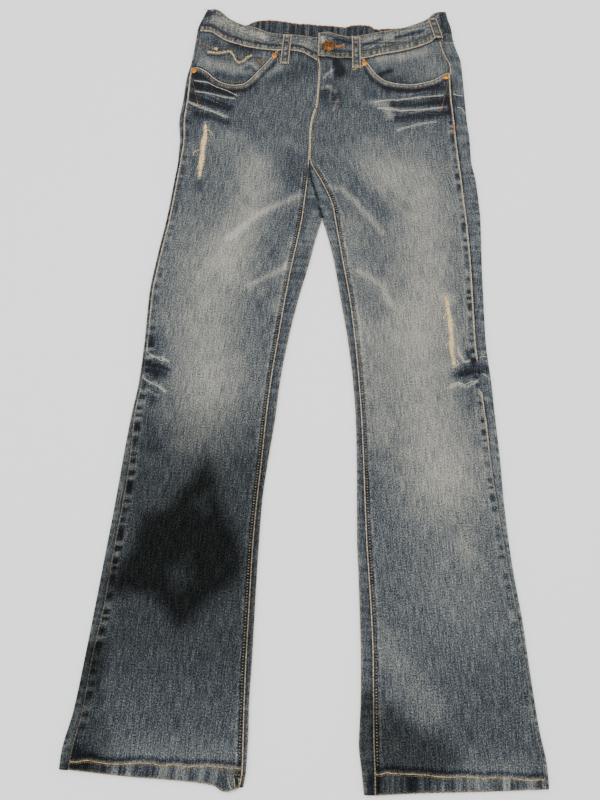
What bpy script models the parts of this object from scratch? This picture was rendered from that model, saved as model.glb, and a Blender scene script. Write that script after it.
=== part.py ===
"""Ripped bootcut jeans, laid flat with the front up.

Metres, +Z up, +Y towards the waist, +X towards the wearer's left leg.
The tables hold the garment's own sizes in millimetres, with y counted up from
the hem stitching and x from the middle of the front.
"""

import math
from collections import namedtuple

import bpy
import bmesh
from mathutils import Vector

MM = 0.001

# Cloth and fittings, mm
WALL = 1.2                # one ply of denim
HEM_WALL = 2.2            # the turned hem, three plies pressed
BAND_WALL = 2.0           # the waistband, folded and faced
FACING_WALL = 1.0         # the ply behind each pocket mouth
SEAM_GAP = 0.3            # between pieces that are sewn together
LAYER = 1.8               # from the middle of the back ply to that of the front ply
FOLD_HEIGHT = 4.0         # the same at the folded sides, which stay puffy
FOLD_DEPTH = 2.3          # how far a side fold is rounded
FOLD_REACH = 24.0         # how far in from a fold the front settles
BAND_REST = 5.1           # middle of the front waistband
REST_HIP = 1.5            # the seat is held up by the back pockets under it
BUTTON_RADIUS = 10.0
BUTTON_HEIGHT = 3.4
RIVET_RADIUS = 4.25
RIVET_HEIGHT = 1.7
LOOP_WIDTH = 13.0
LOOP_SEAT = 0.6           # a loop rides this far above the band and panel

APEX = (1.0, 754.0)       # top of the gap between the legs
STRAIGHT_TO = 936.0       # rows are level up to here, then bend to the pockets and yoke

Side = namedtuple("Side", "y fold seam")          # outer fold and outseam
Inside = namedtuple("Inside", "y fold seam")      # inner fold and inseam
Spot = namedtuple("Spot", "x y")
Crease = namedtuple("Crease", "height width spots")

RIGHT_SIDE = [
    Side(-20, -307, -295), Side(10, -306, -294), Side(60, -296, -285),
    Side(125, -288, -279), Side(190, -281, -270), Side(260, -274, -264),
    Side(330, -267, -257), Side(390, -262, -253), Side(445, -256.5, -252),
    Side(500, -249.5, -245.5), Side(560, -247, -243), Side(620, -246.5, -242.5),
    Side(685, -239.5, -235.5), Side(745, -230.5, -226.5), Side(808, -223.7, -219.8),
    Side(843, -220.3, -216.4), Side(875, -220, -214.5), Side(910, -223.6, -216.5),
    Side(945, -220, -214), Side(980, -218, -213), Side(1016, -211.5, -207.5),
    Side(1052, -208, -203.8), Side(1074, -206, -201.5), Side(1090, -200.6, -196),
    Side(1105, -195, -190.5), Side(1112, -192, -187.5),
]
LEFT_SIDE = [
    Side(-20, 308, 303.5), Side(15, 306.5, 302), Side(60, 298, 293.5),
    Side(125, 289, 284.5), Side(190, 281, 275.5), Side(265, 269, 263),
    Side(345, 260.5, 251), Side(400, 257, 244), Side(455, 252, 239),
    Side(512, 247, 232), Side(570, 240.5, 226), Side(630, 238.5, 223.5),
    Side(690, 237, 221), Side(760, 236.5, 216), Side(792, 234, 212.5),
    Side(825, 230, 209), Side(858, 223.5, 205), Side(892, 222, 201.5),
    Side(926, 218, 198.5), Side(961, 215.5, 195), Side(996, 213, 192.8),
    Side(1032, 209.5, 188.5), Side(1046, 204.5, 186.5), Side(1067, 198.5, 183.4),
    Side(1089, 195.2, 180.2), Side(1104, 190.5, 178), Side(1119, 187.5, 175.8),
]
RIGHT_INSIDE = [
    Inside(-26, -75, -79.5), Inside(0, -71.6, -75.6), Inside(35, -71, -76.5),
    Inside(82, -72, -77.5), Inside(130, -71, -78), Inside(190, -70.6, -77.5),
    Inside(260, -69.8, -77), Inside(330, -68, -74.5), Inside(390, -62.5, -70.5),
    Inside(447, -55.6, -67.5), Inside(504, -50.7, -63), Inside(564, -42, -56),
    Inside(625, -30, -48.5), Inside(687, -15, -39.5), Inside(719, -8.3, -34),
    Inside(754, 1, -28.6),
]
LEFT_INSIDE = [
    Inside(-26, 77, 90), Inside(5, 73, 89), Inside(35, 69.2, 87.5),
    Inside(87, 70.6, 86), Inside(136, 69.9, 85), Inside(190, 67.5, 82),
    Inside(240, 65, 78), Inside(288, 62, 74), Inside(341, 60.7, 70.8),
    Inside(395, 59.4, 68), Inside(451, 57, 64.5), Inside(508, 51.8, 59.5),
    Inside(567, 43.4, 53), Inside(627, 32, 44.5), Inside(688, 20.2, 32.5),
    Inside(720, 12, 26.3), Inside(754, 1, 19.8),
]

# Seams over the crotch and up the centre front, x at each y
RIGHT_RISE = [Spot(-28.6, 754), Spot(-25.3, 790), Spot(-22.8, 822), Spot(-21.9, 843)]
LEFT_RISE = [Spot(19.8, 754), Spot(15.8, 775), Spot(-0.5, 812), Spot(-11, 830),
             Spot(-18.6, 843), Spot(-21.4, 852)]
CENTRE_FRONT = [Spot(-21.9, 843), Spot(-21.6, 872), Spot(-21.6, 900), Spot(-19, 922),
                Spot(-13, 947), Spot(-11.7, 976), Spot(-11, 1005), Spot(-14.2, 1030),
                Spot(-14.6, 1070)]
SEAT_SEAM = [Spot(1, 754), Spot(-6, 783), Spot(-14.5, 808), Spot(-20, 829),
             Spot(-21.4, 843)]

# Waistband, from the wearer's right to the left
BAND_SEAM_RIGHT = [Spot(-202, 1068), Spot(-188, 1068.5), Spot(-162, 1054), Spot(-118, 1042),
                   Spot(-84, 1038.5), Spot(-58, 1039.5), Spot(-41, 1037.5), Spot(-26, 1029.5),
                   Spot(-14, 1022.5)]
BAND_TOP_RIGHT = [Spot(-189, 1109), Spot(-182, 1110.5), Spot(-174, 1107.5), Spot(-155, 1092),
                  Spot(-132, 1082), Spot(-111, 1077), Spot(-94, 1070.5), Spot(-75, 1068),
                  Spot(-53, 1067.5), Spot(-14, 1063)]
BAND_SEAM_LEFT = [Spot(-15, 1029), Spot(3, 1028.5), Spot(17, 1026.5), Spot(39, 1028),
                  Spot(55, 1029), Spot(84, 1037), Spot(120, 1045.6), Spot(147, 1055),
                  Spot(168.6, 1066), Spot(196, 1080)]
BAND_TOP_LEFT = [Spot(-15, 1070), Spot(1.5, 1073), Spot(16, 1068), Spot(36, 1065.5),
                 Spot(52, 1070), Spot(83, 1078), Spot(119.5, 1087), Spot(152, 1101),
                 Spot(172.5, 1115), Spot(188, 1119.5)]
BAND_SIDE_RIGHT = (1068.3, 1108.0)
BAND_SIDE_LEFT = (1079.5, 1117.5)
BAND_SEAM_BACK = [Spot(-202, 1068), Spot(-150, 1056), Spot(-100, 1050), Spot(-50, 1047.5),
                  Spot(0, 1047), Spot(50, 1047.5), Spot(100, 1050.5), Spot(150, 1062),
                  Spot(193, 1079.3)]
BAND_TOP_BACK = [Spot(-197, 1106), Spot(-186, 1104), Spot(-160, 1091), Spot(-130, 1084),
                 Spot(-113, 1091), Spot(-90, 1094), Spot(-57, 1090), Spot(-23.5, 1088),
                 Spot(5.6, 1086.7), Spot(26, 1085), Spot(39, 1089), Spot(64, 1090),
                 Spot(78, 1083), Spot(99, 1085.4), Spot(115.6, 1086), Spot(150, 1094),
                 Spot(175, 1108), Spot(189, 1116)]
SEAT_SIDE = {-1: 205.0, 1: 197.0}   # where the yoke seam reaches each side fold
YOKE_SEAM = [Spot(-SEAT_SIDE[-1], 1052), Spot(0, 990), Spot(SEAT_SIDE[1], 1061)]
SEAT_KNOTS = (50.0, 100.0, 150.0)   # places where the seams on the seat bend

# Front pocket mouths, from the outseam in, and the coin pocket's wavy mouth
MOUTH_RIGHT = [Spot(-214, 998), Spot(-201, 1002), Spot(-187, 996), Spot(-174.5, 985),
               Spot(-160, 977), Spot(-143, 974), Spot(-130, 976), Spot(-118.6, 985),
               Spot(-107.5, 999), Spot(-98, 1011), Spot(-88, 1024), Spot(-79, 1038)]
MOUTH_LEFT = [Spot(57, 1029.5), Spot(62, 1023), Spot(66, 1017.5), Spot(73.4, 1006.6),
              Spot(82.5, 997), Spot(95, 989), Spot(113, 985.6), Spot(131, 985),
              Spot(152, 989), Spot(170, 996), Spot(183, 1005), Spot(194, 1009)]
COIN_MOUTH = [Spot(-196, 1040), Spot(-188, 1031), Spot(-171, 1029.5), Spot(-162, 1031.5),
              Spot(-153.5, 1033), Spot(-147.6, 1027.5), Spot(-143, 1018.6), Spot(-137.5, 1013.5),
              Spot(-131, 1016.3), Spot(-124, 1023.8), Spot(-117.7, 1027.6), Spot(-104, 1028)]

# The hem's lower edge, from the outer fold (0) to the inner fold (1)
HEM_RIGHT = [Spot(0, -8), Spot(0.35, -13), Spot(0.7, -16), Spot(0.84, -19),
             Spot(0.92, -26), Spot(1, -20)]
HEM_LEFT = [Spot(0, -8), Spot(0.3, -13), Spot(0.7, -18), Spot(1, -23)]

# The rips, along their middle, with the width of the hole
RIP_RIGHT = [Spot(-183, 903), Spot(-182, 888), Spot(-184, 868), Spot(-184.5, 845),
             Spot(-186, 818)]
RIP_RIGHT_WIDTH = 8.0
RIP_LEFT = [Spot(184, 638), Spot(188, 612), Spot(191, 584), Spot(191.5, 558),
            Spot(195, 538)]
RIP_LEFT_WIDTH = 6.0

# Creases worn into the cloth: hips, thighs and the tucks beside each knee
CREASES_RIGHT = [
    Crease(0.9, 5, (Spot(-203, 980), Spot(-174, 975), Spot(-153, 963), Spot(-135, 955))),
    Crease(0.9, 5, (Spot(-202, 962), Spot(-169, 954), Spot(-142, 948))),
    Crease(0.9, 5, (Spot(-212, 941), Spot(-179, 930), Spot(-150, 918))),
    Crease(1.0, 9, (Spot(-36, 791), Spot(-99, 749), Spot(-140, 716))),
    Crease(0.8, 9, (Spot(-54, 672), Spot(-90, 647), Spot(-112, 637))),
    Crease(1.5, 7, (Spot(-246, 539), Spot(-224, 531), Spot(-208, 528))),
    Crease(1.5, 7, (Spot(-248, 500), Spot(-226, 492), Spot(-209, 481))),
]
CREASES_LEFT = [
    Crease(0.9, 5, (Spot(74, 952), Spot(95, 956), Spot(138, 961), Spot(214, 966))),
    Crease(0.9, 5, (Spot(81, 942), Spot(120, 938), Spot(215, 944))),
    Crease(0.8, 5, (Spot(118, 907), Spot(146, 917), Spot(172, 922))),
    Crease(1.0, 9, (Spot(19, 806), Spot(56, 780), Spot(85, 740))),
    Crease(0.8, 9, (Spot(56, 672), Spot(86, 655), Spot(104, 629))),
    Crease(1.5, 7, (Spot(198, 556), Spot(210, 541), Spot(240, 549))),
    Crease(1.5, 7, (Spot(186, 505), Spot(209, 508), Spot(243, 512))),
]

BUTTON_AT = Spot(2, 1046)
SLIDER_AT = Spot(-176.5, 1037.6)
SLIDER_SIZE = (9.0, 5.0, 2.4)
RIVETS = {"rivet_right_inner": Spot(-82.7, 1028), "rivet_right_outer": Spot(-206.4, 995),
          "rivet_left_inner": Spot(59.4, 1019.5), "rivet_left_outer": Spot(186.8, 999.6)}

COLOURS = {
    "denim_front": ((0.115, 0.145, 0.19, 1), 0.88, 0.0),
    "denim_back": ((0.06, 0.08, 0.12, 1), 0.88, 0.0),
    "denim_band": ((0.09, 0.115, 0.16, 1), 0.88, 0.0),
    "denim_facing": ((0.10, 0.13, 0.18, 1), 0.88, 0.0),
    "copper": ((0.65, 0.34, 0.10, 1), 0.35, 1.0),
    "bronze": ((0.26, 0.16, 0.08, 1), 0.38, 1.0),
    "zip_brass": ((0.45, 0.33, 0.14, 1), 0.4, 1.0),
}


# Curves and heights

def smoothstep(start, end, value):
    share = min(1.0, max(0.0, (value - start) / (end - start)))
    return share * share * (3.0 - 2.0 * share)


def mix(first, second, share):
    return first + (second - first) * share


def smooth_line(pairs):
    """Return a function that runs smoothly through (place, value) pairs, with no overshoot."""
    pairs = sorted(pairs)
    places = [pair[0] for pair in pairs]
    values = [pair[1] for pair in pairs]
    steps = [places[i + 1] - places[i] for i in range(len(pairs) - 1)]
    slopes = [(values[i + 1] - values[i]) / steps[i] for i in range(len(steps))]
    leans = [slopes[0]]
    for before, after in zip(slopes, slopes[1:]):
        leans.append(2 * before * after / (before + after) if before * after > 0 else 0.0)
    leans.append(slopes[-1])

    def at(place):
        if place <= places[0]:
            return values[0]
        if place >= places[-1]:
            return values[-1]
        i = max(k for k in range(len(steps)) if places[k] <= place)
        t = (place - places[i]) / steps[i]
        rise = t * t * (3 - 2 * t)
        start_pull = steps[i] * t * (1 - t) * (1 - t)
        end_pull = -steps[i] * t * t * (1 - t)
        return mix(values[i], values[i + 1], rise) + leans[i] * start_pull + leans[i + 1] * end_pull

    return at


def across(spots):
    """The height y of a line at each x."""
    return smooth_line([(spot.x, spot.y) for spot in spots])


def bent(spots):
    """The height y of a line that runs straight from spot to spot."""

    def at(x):
        for start, end in zip(spots, spots[1:]):
            if x <= end.x or end is spots[-1]:
                return mix(start.y, end.y, (x - start.x) / (end.x - start.x))

    return at


def upward(spots):
    """The place x of a line at each y."""
    return smooth_line([(spot.y, spot.x) for spot in spots])


class Leg:
    """One side of the garment: sign is -1 for the wearer's right and 1 for the left."""

    def __init__(self, sign, side, inside, rise, hem, creases):
        self.sign = sign
        self.outer_fold = smooth_line([(row.y, row.fold) for row in side])
        self.outseam = smooth_line([(row.y, row.seam) for row in side])
        self.inner_fold = smooth_line([(row.y, row.fold) for row in inside])
        inseam = [(row.y, row.seam) for row in inside[:-1]] + [(s.y, s.x) for s in rise]
        self.inseam = smooth_line(inseam)
        self.rise_top = rise[-1].y
        self.hem = smooth_line([(spot.x, spot.y) for spot in hem])
        self.creases = creases

    def inner_edge(self, y):
        """The front's inner edge: the inseam, then the centre front."""
        return self.inseam(y) if y < self.rise_top else centre_front(y)


centre_front = upward(CENTRE_FRONT)
seat_seam = upward(SEAT_SEAM)
yoke_seam = bent(YOKE_SEAM)
band_seam = {-1: across(BAND_SEAM_RIGHT), 1: across(BAND_SEAM_LEFT)}
band_top = {-1: across(BAND_TOP_RIGHT), 1: across(BAND_TOP_LEFT)}
band_seam_back = bent(BAND_SEAM_BACK)
band_side_levels = {-1: BAND_SIDE_RIGHT, 1: BAND_SIDE_LEFT}
band_top_back = across(BAND_TOP_BACK)
mouth = {-1: across(MOUTH_RIGHT), 1: across(MOUTH_LEFT)}
mouth_end = {-1: MOUTH_RIGHT[-1], 1: MOUTH_LEFT[0]}
RIGHT = Leg(-1, RIGHT_SIDE, RIGHT_INSIDE, RIGHT_RISE, HEM_RIGHT, CREASES_RIGHT)
LEFT = Leg(1, LEFT_SIDE, LEFT_INSIDE, LEFT_RISE, HEM_LEFT, CREASES_LEFT)


def hem_share(y):
    """1 in the turned hem, 0 above it."""
    return 1.0 - smoothstep(4.0, 12.0, y)


def wall_at(y):
    return mix(WALL, HEM_WALL, hem_share(y))


def under(y):
    """Middle of the ply that lies on the floor or on the back pockets."""
    return wall_at(y) / 2 + REST_HIP * smoothstep(775, 845, y)


def crease_height(creases, x, y):
    """How far the creases lift the cloth at a point."""
    lift = 0.0
    for crease in creases:
        for start, end in zip(crease.spots, crease.spots[1:]):
            run_x, run_y = end.x - start.x, end.y - start.y
            along = ((x - start.x) * run_x + (y - start.y) * run_y) / (run_x ** 2 + run_y ** 2)
            along = min(1.0, max(0.0, along))
            away = math.hypot(x - start.x - along * run_x, y - start.y - along * run_y)
            lift = max(lift, crease.height * math.exp(-(away / crease.width) ** 2))
    return lift


def billow(x, y):
    """The slow lift of cloth that does not lie quite flat."""
    return 0.35 + 0.35 * math.sin(x * 0.031 + y * 0.017) * math.cos(y * 0.023 - x * 0.012)


def on_top(leg, x, y):
    """Middle of the upper ply at a point, without what the pockets and fly add."""
    from_fold = leg.sign * (leg.outer_fold(y) - x)
    if y < APEX[1]:
        from_fold = min(from_fold, leg.sign * (x - leg.inner_fold(y)))
    else:
        from_fold = min(from_fold, math.hypot(x - APEX[0], y - APEX[1]))
    near_fold = 1.0 - smoothstep(FOLD_DEPTH + WALL, FOLD_REACH, from_fold)
    flat = LAYER + 1.0 * hem_share(y)
    soft = 1.0 - smoothstep(945, 990, y) * 0.6
    lift = (billow(x, y) + crease_height(leg.creases, x, y)) * soft
    over_band = 0.8 * smoothstep(-14, -3, y - band_seam_back(x))
    height = under(y) + flat + (FOLD_HEIGHT - flat) * near_fold
    return height + lift * (1.0 - 0.6 * near_fold) + over_band * (1.0 - near_fold)


def mouth_lift(leg, x, y):
    """The front's edge rides over the ply behind the pocket mouth."""
    past_end = max(0.0, leg.sign * (mouth_end[leg.sign].x - x))
    on_line = x + leg.sign * past_end
    slope = (mouth[leg.sign](on_line + 1) - mouth[leg.sign](on_line - 1)) / 2
    away = math.hypot(past_end, (mouth[leg.sign](on_line) - y) / math.hypot(1.0, slope))
    return 1.3 * (1.0 - smoothstep(12, 28, away))


def fly_lift(leg, x, y):
    """The left front laps over the right one at the fly."""
    if leg.sign < 0:
        return 0.0
    return 1.0 * (1.0 - smoothstep(20, 44, x)) * smoothstep(930, 965, y)


def front_height(leg, x, y):
    return on_top(leg, x, y) + mouth_lift(leg, x, y) + fly_lift(leg, x, y)


def band_height(sign, x, y):
    """Middle of the front waistband: the left end laps over the right one."""
    leg = RIGHT if sign < 0 else LEFT
    near_side = 1.0 - smoothstep(FOLD_DEPTH + WALL, FOLD_REACH, sign * (leg.outer_fold(y) - x))
    lap = 2.4 * (1.0 - smoothstep(24, 62, x)) if sign > 0 else 0.0
    return BAND_REST + 1.2 * near_side + lap


# Making objects

def clear_scene():
    for thing in list(bpy.data.objects):
        bpy.data.objects.remove(thing, do_unlink=True)


def collection(name):
    group = bpy.data.collections.new(name)
    bpy.context.scene.collection.children.link(group)
    return group


def material(name):
    if name in bpy.data.materials:
        return bpy.data.materials[name]
    colour, roughness, metallic = COLOURS[name]
    made = bpy.data.materials.new(name)
    made.use_nodes = True
    shader = made.node_tree.nodes["Principled BSDF"]
    shader.inputs["Base Color"].default_value = colour
    shader.inputs["Roughness"].default_value = roughness
    shader.inputs["Metallic"].default_value = metallic
    return made


def add_object(name, mesh, finish, smooth=True):
    made = bpy.data.objects.new(name, mesh)
    GARMENT.objects.link(made)
    made.parent = LAY
    mesh.materials.append(material(finish))
    if smooth:
        mesh.shade_smooth()
    return made


def cloth(name, rows, wall, finish, skip=None, hem=False):
    """Sew a grid of points into a sheet and give it its thickness.

    A point is (x, y, z) in millimetres, or None where the sheet has no cloth.
    """
    build = bmesh.new()
    thick = build.verts.layers.deform.verify()
    corners = [[p and build.verts.new(Vector(p) * MM) for p in row] for row in rows]
    for row in corners:
        for corner in row:
            if corner and hem:
                corner[thick][0] = hem_share(corner.co.y / MM)
    for r in range(len(rows) - 1):
        for c in range(len(rows[0]) - 1):
            ring = [corners[r][c], corners[r][c + 1], corners[r + 1][c + 1], corners[r + 1][c]]
            if all(ring) and not (skip and skip(r, c)):
                build.faces.new(ring)
    for corner in [v for v in build.verts if not v.link_faces]:
        build.verts.remove(corner)
    mesh = bpy.data.meshes.new(name)
    build.to_mesh(mesh)
    build.free()
    made = add_object(name, mesh, finish)
    solidify = made.modifiers.new("wall", "SOLIDIFY")
    solidify.thickness = (HEM_WALL if hem else wall) * MM
    solidify.offset = 0.0
    solidify.use_even_offset = True
    if hem:
        made.vertex_groups.new(name="hem")
        solidify.vertex_group = "hem"
        solidify.thickness_vertex_group = WALL / HEM_WALL
    return made


def turned(name, profile, at, height, finish, steps):
    """A round fitting, from its profile of (radius, z) points, top to bottom."""
    build = bmesh.new()
    corners = [build.verts.new((radius * MM, 0, z * MM)) for radius, z in profile]
    for upper, lower in zip(corners, corners[1:]):
        build.edges.new((upper, lower))
    mesh = bpy.data.meshes.new(name)
    build.to_mesh(mesh)
    build.free()
    made = add_object(name, mesh, finish)
    made.location = (at.x * MM, at.y * MM, height * MM)
    screw = made.modifiers.new("turn", "SCREW")
    screw.axis = "Z"
    screw.steps = steps
    screw.render_steps = steps
    screw.use_merge_vertices = True
    screw.merge_threshold = 0.00001
    return made


# Panels

def spaced(start, end, step):
    count = max(1, round((end - start) / step))
    return [mix(start, end, i / count) for i in range(count + 1)]


def level_rows():
    """Heights of the level rows: closer at the hem, the knee tucks and the hip creases."""
    rows = [-8.0, 3.0, 9.0, 22.0]
    rows += spaced(22, 474, 35)[1:]
    rows += spaced(474, 562, 11)[1:]
    rows += spaced(562, APEX[1], 32)[1:]
    rows += spaced(APEX[1], 829, 25)[1:]
    rows += [843.0]
    rows += spaced(843, 903, 20)[1:]
    rows += spaced(903, STRAIGHT_TO, 11)[1:]
    return rows


FRONT_COLUMNS = 12
SIDE_TOP = {-1: 998.0, 1: 1006.0}   # where each pocket mouth meets the outseam
TOP_STEPS = [0.25, 0.5, 0.72, 0.88, 1.0]


def top_edge(leg, x):
    """Upper edge of a front: the pocket mouth, then the waistband seam."""
    if leg.sign * (x - mouth_end[leg.sign].x) > 0:
        return mouth[leg.sign](x)
    return band_seam[leg.sign](x) - SEAM_GAP


def front_panel(leg, name):
    gap = SEAM_GAP / 2
    rows = []
    for y in level_rows():
        row = []
        for c in range(FRONT_COLUMNS + 1):
            share = c / FRONT_COLUMNS
            level = leg.hem(share) if y == -8.0 else y
            x = mix(leg.outseam(level) - leg.sign * gap, leg.inner_edge(level) + leg.sign * gap, share)
            row.append((x, level, front_height(leg, x, level)))
        rows.append(row)
    for step in TOP_STEPS:
        row = []
        for c in range(FRONT_COLUMNS + 1):
            share = c / FRONT_COLUMNS
            low = mix(leg.outseam(STRAIGHT_TO), centre_front(STRAIGHT_TO), share)
            high = mix(leg.outseam(SIDE_TOP[leg.sign]), centre_front(1026), share)
            x = mix(low, high, step) + leg.sign * gap * (2 * share - 1)
            if share in (0.0, 1.0):
                level = mix(STRAIGHT_TO, SIDE_TOP[leg.sign] if share == 0 else 1028, step)
                edge = leg.outseam(level) if share == 0 else centre_front(level)
                x = edge + leg.sign * gap * (2 * share - 1)
            y = mix(STRAIGHT_TO, top_edge(leg, high), step)
            row.append((x, y, front_height(leg, x, y)))
        rows.append(row)
    if leg.sign > 0:
        rows = [row[::-1] for row in rows]
    return cloth(name, rows, WALL, "denim_front", hem=True)


def fold_arc(leg, edge, y, outward, low, high, steps=4):
    """Points round a side fold, from the upper ply down to the lower one."""
    wall = wall_at(y) / 2
    points = []
    for i in range(steps + 1):
        turn = math.pi * i / steps
        x = edge - outward * (wall + FOLD_DEPTH * (1.0 - math.sin(turn)))
        points.append((x, y, mix(low, high, 0.5 + 0.5 * math.cos(turn))))
    return points


def strip(leg, start, end, y, steps):
    """Points on the upper ply from one x to another, without the last."""
    xs = [mix(start, end, i / steps) for i in range(steps)]
    return [(x, y, on_top(leg, x, y)) for x in xs]


def flat_run(start, end, y_at, steps):
    """Points on the lower ply, between two folds, ends left out."""
    xs = [mix(start, end, i / steps) for i in range(1, steps)]
    return [(x, y_at(x), under(y_at(x))) for x in xs]


STRIP_STEPS = 2
ARC_STEPS = 4
FLAT_STEPS = 3


def side_points(leg, y):
    """Points from the lower ply round the outer fold to the outseam."""
    edge = leg.outer_fold(y)
    x_in = edge - leg.sign * (wall_at(y) / 2 + FOLD_DEPTH)
    arc = fold_arc(leg, edge, y, leg.sign, under(y), on_top(leg, x_in, y))[::-1]
    seam = leg.outseam(y) + leg.sign * SEAM_GAP / 2
    wrap = strip(leg, seam, x_in, y, STRIP_STEPS)[::-1]
    return arc + wrap


def back_panel(leg, name):
    gap = SEAM_GAP / 2
    levels = level_rows()
    flap_top = 829.0 if leg.sign < 0 else 843.0
    rows = []
    for y in levels:
        y_in = leg.hem(1.0) if y == -8.0 else y
        y_out = leg.hem(0.0) if y == -8.0 else y
        outside = side_points(leg, y_out)
        seam = leg.inner_edge(y_in) - leg.sign * gap
        if y <= APEX[1]:
            edge = leg.inner_fold(y_in) + leg.sign * (gap if y == APEX[1] else 0.0)
            x_in = edge + leg.sign * (wall_at(y_in) / 2 + FOLD_DEPTH)
            arc = fold_arc(leg, edge, y_in, -leg.sign, under(y_in), on_top(leg, x_in, y_in))
            inside = strip(leg, seam, x_in, y_in, STRIP_STEPS) + arc
        elif y <= flap_top:
            middle = seat_seam(y) + leg.sign * gap
            inside = strip(leg, seam, middle, y, STRIP_STEPS) + [(middle, y, on_top(leg, middle, y))]
            inside += [None] * (ARC_STEPS - 1)
            inside.append((mix(APEX[0], 0, smoothstep(754, 900, y)) + leg.sign * gap, y, under(y)))
        else:
            inside = [None] * (STRIP_STEPS + ARC_STEPS)
            inside.append((mix(APEX[0], 0, smoothstep(754, 900, y)) + leg.sign * gap, y, under(y)))
        start, end = inside[-1][0], outside[0][0]
        hem_level = lambda x: mix(y_in, y_out, (x - start) / (end - start))
        rows.append(inside + flat_run(start, end, hem_level, FLAT_STEPS) + outside)
    side_top = yoke_seam(leg.sign * SEAT_SIDE[leg.sign]) - gap
    levels = [(mix(STRAIGHT_TO, SIDE_TOP[leg.sign], step), mix(STRAIGHT_TO, 972, step))
              for step in TOP_STEPS]
    levels += [(mix(SIDE_TOP[leg.sign], side_top, 0.5), 981.0), (side_top, yoke_seam(0) - gap)]
    for at_side, at_middle in levels:
        def level(x):
            return mix(at_middle, at_side, abs(x) / SEAT_SIDE[leg.sign])
        outside = side_points(leg, at_side)
        start = leg.sign * gap
        inside = [None] * (STRIP_STEPS + ARC_STEPS) + [(start, level(start), under(level(start)))]
        rows.append(inside + flat_run(start, outside[0][0], level, FLAT_STEPS) + outside)
    if leg.sign > 0:
        rows = [row[::-1] for row in rows]
    return cloth(name, rows, WALL, "denim_back", hem=True)


def yoke(leg, name):
    gap = SEAM_GAP / 2
    rows = []
    for step in (0.0, 0.5, 1.0):
        def level(x):
            return mix(yoke_seam(x) + gap, band_seam_back(x) - gap, step)
        side = leg.sign * SEAT_SIDE[leg.sign]
        low = yoke_seam(side) + gap
        outside = side_points(leg, mix(low, band_side_levels[leg.sign][0] - gap, step))
        inner = [(x, level(x), under(level(x))) for x in
                 [leg.sign * gap] + [leg.sign * knot for knot in SEAT_KNOTS]]
        rows.append(inner + outside)
    if leg.sign > 0:
        rows = [row[::-1] for row in rows]
    return cloth(name, rows, WALL, "denim_back")


# Waistband

BAND_STEPS = 3
BAND_COLUMNS = {-1: 12, 1: 14}
MOUTH_SPREAD = 1.05       # a pocket facing is this much wider at the mouth than at the waist
BAND_BACK_HEIGHT = REST_HIP + BAND_WALL / 2


def band_place(sign, share, rise):
    """A place on a front waistband: share runs from the side seam in, rise from seam to top."""
    leg = RIGHT if sign < 0 else LEFT
    gap = sign * SEAM_GAP / 2
    low, high = band_side_levels[sign]
    level = mix(low, high, rise)
    x = mix(leg.outseam(level) - gap, centre_front(1050) + gap, share)
    if share == 0:
        return x, level
    return x, mix(band_seam[sign](x) + SEAM_GAP / 2, band_top[sign](x), rise)


def band_front(leg, name):
    sign = leg.sign
    columns = BAND_COLUMNS[sign]
    rows = []
    for r in range(BAND_STEPS + 1):
        rise = r / BAND_STEPS
        places = [band_place(sign, c / columns, rise) for c in range(columns + 1)]
        rows.append([(x, y, band_height(sign, x, y)) for x, y in places])
    if sign > 0:
        rows = [row[::-1] for row in rows]
    return cloth(name, rows, BAND_WALL, "denim_band")


def band_tab():
    """The button end of the right waistband, which runs on under the left one."""
    rows = []
    for y in (1032.0, 1047.0, 1062.0):
        rows.append([(x, y, BAND_REST) for x in (-13.9, -4.0, 10.0, 22.0)])
    return cloth("waistband_tab", rows, BAND_WALL, "denim_band")


def band_side(leg, y):
    """Points round the waistband's side fold, from the lower ply to the side seam."""
    edge = leg.outer_fold(y)
    inset = BAND_WALL / 2 + FOLD_DEPTH
    x_in = edge - leg.sign * inset
    points = []
    for i in range(ARC_STEPS + 1):
        turn = math.pi * i / ARC_STEPS
        x = edge - leg.sign * (inset - FOLD_DEPTH * math.sin(turn))
        points.append((x, y, mix(band_height(leg.sign, x_in, y), BAND_BACK_HEIGHT,
                                 0.5 + 0.5 * math.cos(turn))))
    seam = leg.outseam(y) + leg.sign * SEAM_GAP / 2
    for i in (1, 2):
        x = mix(x_in, seam, i / 2)
        points.append((x, y, band_height(leg.sign, x, y)))
    return points


def band_back(name):
    gap = SEAM_GAP / 2
    rows = []
    for r in range(BAND_STEPS + 1):
        rise = r / BAND_STEPS
        right = band_side(RIGHT, mix(*BAND_SIDE_RIGHT, rise))
        left = band_side(LEFT, mix(*BAND_SIDE_LEFT, rise))
        middle = []
        for i in range(-14, 15):
            x = i * 12.5
            wave = 0.3 * (1 + math.sin(x * 0.16)) * rise
            y = mix(band_seam_back(x) + gap, band_top_back(x), rise)
            middle.append((x, y, BAND_BACK_HEIGHT + wave))
        rows.append(right[::-1] + middle + left)
    rows = [row[::-1] for row in rows]
    return cloth(name, rows, BAND_WALL, "denim_band")


# Pockets

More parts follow.
